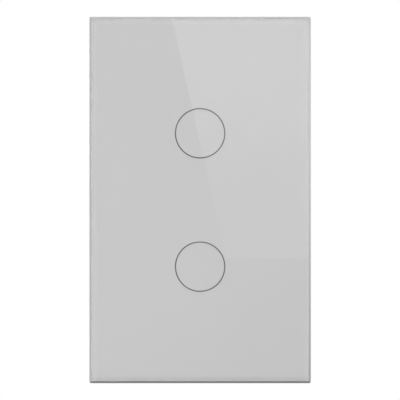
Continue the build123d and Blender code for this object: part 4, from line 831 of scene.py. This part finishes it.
pads = bmesh.new()
low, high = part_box("board_screws")
for x in (low[0] + SCREW_HEAD * MM, high[0] - SCREW_HEAD * MM):
    for z in (low[2] + SCREW_HEAD * MM, high[2] - SCREW_HEAD * MM):
        circle_outline(pads, (x, z), (SCREW_HEAD + PAD_REACH) * MM, 2 * PAD_REACH)
layer(pads, PAD_PROUD)
finished(pads, "screw_pads", finishes["shield"])

# %% [markdown]
# ## Floor
#
# The switch is shown straight on against white, as in a catalogue. The floor is a plain pale disc
# of paper well under it, so that it stays out of the straight view, and it is hidden from the light
# that bounces: a floor so pale would light the panel's lower bevel as much as the upper one. Far
# from the middle the paper goes over into white, as a paper sweep does, so no horizon shows.

# %% Floor
FLOOR_RADIUS = 7.0
FLOOR_HEIGHT = -0.75
PAPER_PATCH = 60.0
SWEEP_START = 2.5
SWEEP_END = 6.5

floor_mesh = bpy.data.meshes.new("studio_floor")
shape = bmesh.new()
bmesh.ops.create_circle(shape, cap_ends=True, radius=FLOOR_RADIUS, segments=ROUND_SEGMENTS)
bmesh.ops.translate(shape, verts=shape.verts, vec=(0, 0, FLOOR_HEIGHT))
shape.to_mesh(floor_mesh)
shape.free()
floor = link(bpy.data.objects.new("studio_floor", floor_mesh))
floor.visible_diffuse = False
floor.visible_glossy = False
floor.visible_transmission = False
# Seamless background paper: pale, matt and barely clouded.
material, tree, shader, place = new_material("pale_seamless_paper")
away = add(tree, "ShaderNodeVectorMath", {0: place}, operation="LENGTH").outputs["Value"]
inputs = {"Value": away, "From Min": SWEEP_START, "From Max": SWEEP_END}
sweep = add(tree, "ShaderNodeMapRange", inputs, interpolation_type="SMOOTHSTEP").outputs["Result"]
colour = add(tree, "ShaderNodeMix", {"Factor": sweep}, data_type="RGBA")
tree.links.new(clouded(tree, place, "ececea", "f0f0ee", PAPER_PATCH), colour.inputs["A"])
colour.inputs["B"].default_value = linear("fdfdfd")
settle(tree, shader, {
    "Base Color": colour.outputs["Result"],
    "Roughness": 0.9,
})
floor_mesh.materials.append(material)
print("floor", FLOOR_HEIGHT, "m high")

# %% [markdown]
# ## Camera
#
# The picture is square, and the panel's height fills all but a margin of it. A long lens stands far
# off, so the panel's sides don't show and its upright edges stay upright. The distance follows from
# the lens and from the width of the picture at the glass, which is 130.9 mm. The photograph shows
# the rings an eighth of a pixel right of its middle, so the camera stands 0.04 mm to the left.

# %% Camera
LENS_MM = 200.0
SENSOR_MM = 36.0
FRAME_WIDTH = 130.9
CAMERA_ASIDE = -0.04

camera_data = bpy.data.cameras.new("catalogue_camera")
camera_data.lens = LENS_MM
camera_data.sensor_width = SENSOR_MM
camera = link(bpy.data.objects.new("catalogue_camera", camera_data))
glass_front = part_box("glass_panel")[0][1]
distance = FRAME_WIDTH * MM * LENS_MM / SENSOR_MM
camera.location = (CAMERA_ASIDE * MM, glass_front - distance, 0)
camera.rotation_euler = (pi / 2, 0, 0)
bpy.context.scene.camera = camera
print("camera", round(distance, 3), "m before the glass")

# %% [markdown]
# ## Room light
#
# In front of the switch the room is an even dome of light, because the print behind the glass
# shows any slope in it as a band along the panel's edges, where the glass's sides mirror the room.
# Behind the switch the dome is dimmer, and brighter above than below, as under a lit ceiling, which
# gives the white housing its shape. The camera itself sees pure white, as on a lit backdrop.

# %% World
ROOM_LIGHT = 1.1
CEILING_EXTRA = 0.45
BACK_SHADE = 0.5

world = bpy.data.worlds.new("white_studio")
bpy.context.scene.world = world
world.use_nodes = True
world.node_tree.nodes.clear()
tree = world.node_tree
outward = add(tree, "ShaderNodeTexCoord").outputs["Generated"]
way = add(tree, "ShaderNodeSeparateXYZ", {"Vector": outward})
behind = add(tree, "ShaderNodeMath", {0: way.outputs["Y"], 1: 0.0}, operation="MAXIMUM")
inputs = {0: way.outputs["Z"], 1: CEILING_EXTRA, 2: -BACK_SHADE}
slope = add(tree, "ShaderNodeMath", inputs, operation="MULTIPLY_ADD")
inputs = {0: behind.outputs[0], 1: slope.outputs[0], 2: ROOM_LIGHT}
strength = add(tree, "ShaderNodeMath", inputs, operation="MULTIPLY_ADD").outputs[0]
room = add(tree, "ShaderNodeBackground", {"Color": linear("ffffff"), "Strength": strength})
backdrop = add(tree, "ShaderNodeBackground", {"Color": linear("ffffff"), "Strength": 1.0})
seen = add(tree, "ShaderNodeLightPath").outputs["Is Camera Ray"]
mix = add(tree, "ShaderNodeMixShader", {0: seen, 1: room.outputs[0], 2: backdrop.outputs[0]})
add(tree, "ShaderNodeOutputWorld", {"Surface": mix.outputs[0]})
print("room light", ROOM_LIGHT, "before the switch,", round(ROOM_LIGHT - BACK_SHADE, 2), "behind it")

# %% [markdown]
# ## Lamps
#
# One softbox stands behind the switch for the housing. Three lamps light only the glass, through
# light linking, and stand close to the plane of its front: their light skims the polished face and
# falls on the ground bevels, as a photographer draws the rim of a glass. The left and the upper
# bevel come out light, the right one fades downwards because its lamp is small and stands level
# with the top of the panel, and the lower one stays dark.

# %% Lamps
# Each lamp has its name, its place, width and height in metres, and its power in watts.
RIM_LAMPS = (
    ("left_rim_lamp", (-1.2, 0.0, 0.2), 0.08, 1.2, 17.0),
    ("top_rim_lamp", (0.0, 0.0, 1.2), 1.2, 0.08, 16.5),
    ("right_rim_lamp", (0.58, 0.0, 0.066), 0.02, 0.08, 2.55),
)
BACK_LAMP = ("back_softbox", (-0.9, 1.5, 1.0), 1.0, 1.0, 10.0)


def softbox(name, spot, width, height, power):
    """A rectangular area light that looks at the origin and isn't seen by the camera."""
    data = bpy.data.lights.new(name, "AREA")
    data.shape = "RECTANGLE"
    data.size = width
    data.size_y = height
    data.energy = power
    light = link(bpy.data.objects.new(name, data))
    light.location = spot
    light.rotation_euler = (-Vector(spot)).to_track_quat("-Z", "Y").to_euler()
    light.visible_camera = False
    print(name, power, "W")
    return light


rim = bpy.data.collections.new("glass_rim")
rim.objects.link(frame["nodes"]["glass_panel"])
for settings in RIM_LAMPS:
    lamp = softbox(*settings)
    lamp.light_linking.receiver_collection = rim
    lamp.visible_transmission = False
softbox(*BACK_LAMP)

# %% [markdown]
# ## Reflections in the glass
#
# Two glowing cards stand in front of the panel, and the camera sees them only in the glass. One is
# a veil whose brightness falls towards the lower right. The other grows brighter upwards and has a
# slanted edge, which is the edge of the reflection across the upper right of the glass.
#
# A mirror image is easiest to place from the panel. The camera is about 0.73 m before the glass,
# so a card 1.5 m before it is seen in the glass at about a third of its size. Its corners are given
# where their image lies on the panel, in millimetres, and multiplied by that ratio of about three.

# %% Cards in front of the glass
CARD_DISTANCE = 1.5
CARD_GAP = 0.05
VEIL_REACH = 150
IMAGE_SCALE = (distance + CARD_DISTANCE) / distance


def card(name, y, corners, low, high, start, end):
    """A glowing card with these corners, given where its image lies on the panel in millimetres.

    Its brightness goes from low at the start point to high at the end point.
    """
    mesh = bpy.data.meshes.new(name)
    sheet = bmesh.new()
    points = [sheet.verts.new((x * MM * IMAGE_SCALE, y, z * MM * IMAGE_SCALE)) for x, z in corners]
    sheet.faces.new(points)
    sheet.to_mesh(mesh)
    sheet.free()
    thing = link(bpy.data.objects.new(name, mesh))
    thing.visible_camera = False
    material = bpy.data.materials.new(name + "_glow")
    material.use_nodes = True
    tree = material.node_tree
    tree.nodes.clear()
    place = add(tree, "ShaderNodeTexCoord").outputs["Object"]
    first = Vector((start[0], 0, start[1])) * MM * IMAGE_SCALE
    way = Vector((end[0], 0, end[1])) * MM * IMAGE_SCALE - first
    offset = add(tree, "ShaderNodeVectorMath", {0: place, 1: first}, operation="SUBTRACT")
    inputs = {0: offset.outputs["Vector"], 1: way}
    along = add(tree, "ShaderNodeVectorMath", inputs, operation="DOT_PRODUCT")
    inputs = {
        "Value": along.outputs["Value"],
        "From Max": way.length_squared,
        "To Min": low,
        "To Max": high,
    }
    glow = add(tree, "ShaderNodeMapRange", inputs, interpolation_type="SMOOTHSTEP").outputs["Result"]
    emission = add(tree, "ShaderNodeEmission", {"Color": linear("ffffff"), "Strength": glow})
    add(tree, "ShaderNodeOutputMaterial", {"Surface": emission.outputs[0]})
    mesh.materials.append(material)
    print(name, "brightness", low, "to", high)


veil = [(x * VEIL_REACH, z * VEIL_REACH) for x, z in ((-1, -1), (1, -1), (1, 1), (-1, 1))]
card("veil_card", -CARD_DISTANCE - CARD_GAP, veil, 1.0, 0.61, (-10, -10), (45, -75))
slanted = [(-14.0, 80.0), (110.0, 80.0), (110.0, -19.0), (8.6, -19.0)]
card("slanted_card", -CARD_DISTANCE, slanted, 1.15, 1.55, (0, -8), (0, 42))

# %% [markdown]
# ## Colour management
#
# The picture is a plain catalogue shot, so the standard view is used, in which white paper stays
# white and the greys come out as they were lit. Cycles blurs glass that is seen by way of a matt
# surface, to save noise. Here nearly all the light of the print comes by way of glass, and the blur
# would darken it towards the edges, so it is switched off.

# %% View
view = bpy.context.scene.view_settings
view.view_transform = "Standard"
view.look = "None"
bpy.context.scene.cycles.blur_glossy = 0.0
print("view", view.view_transform)
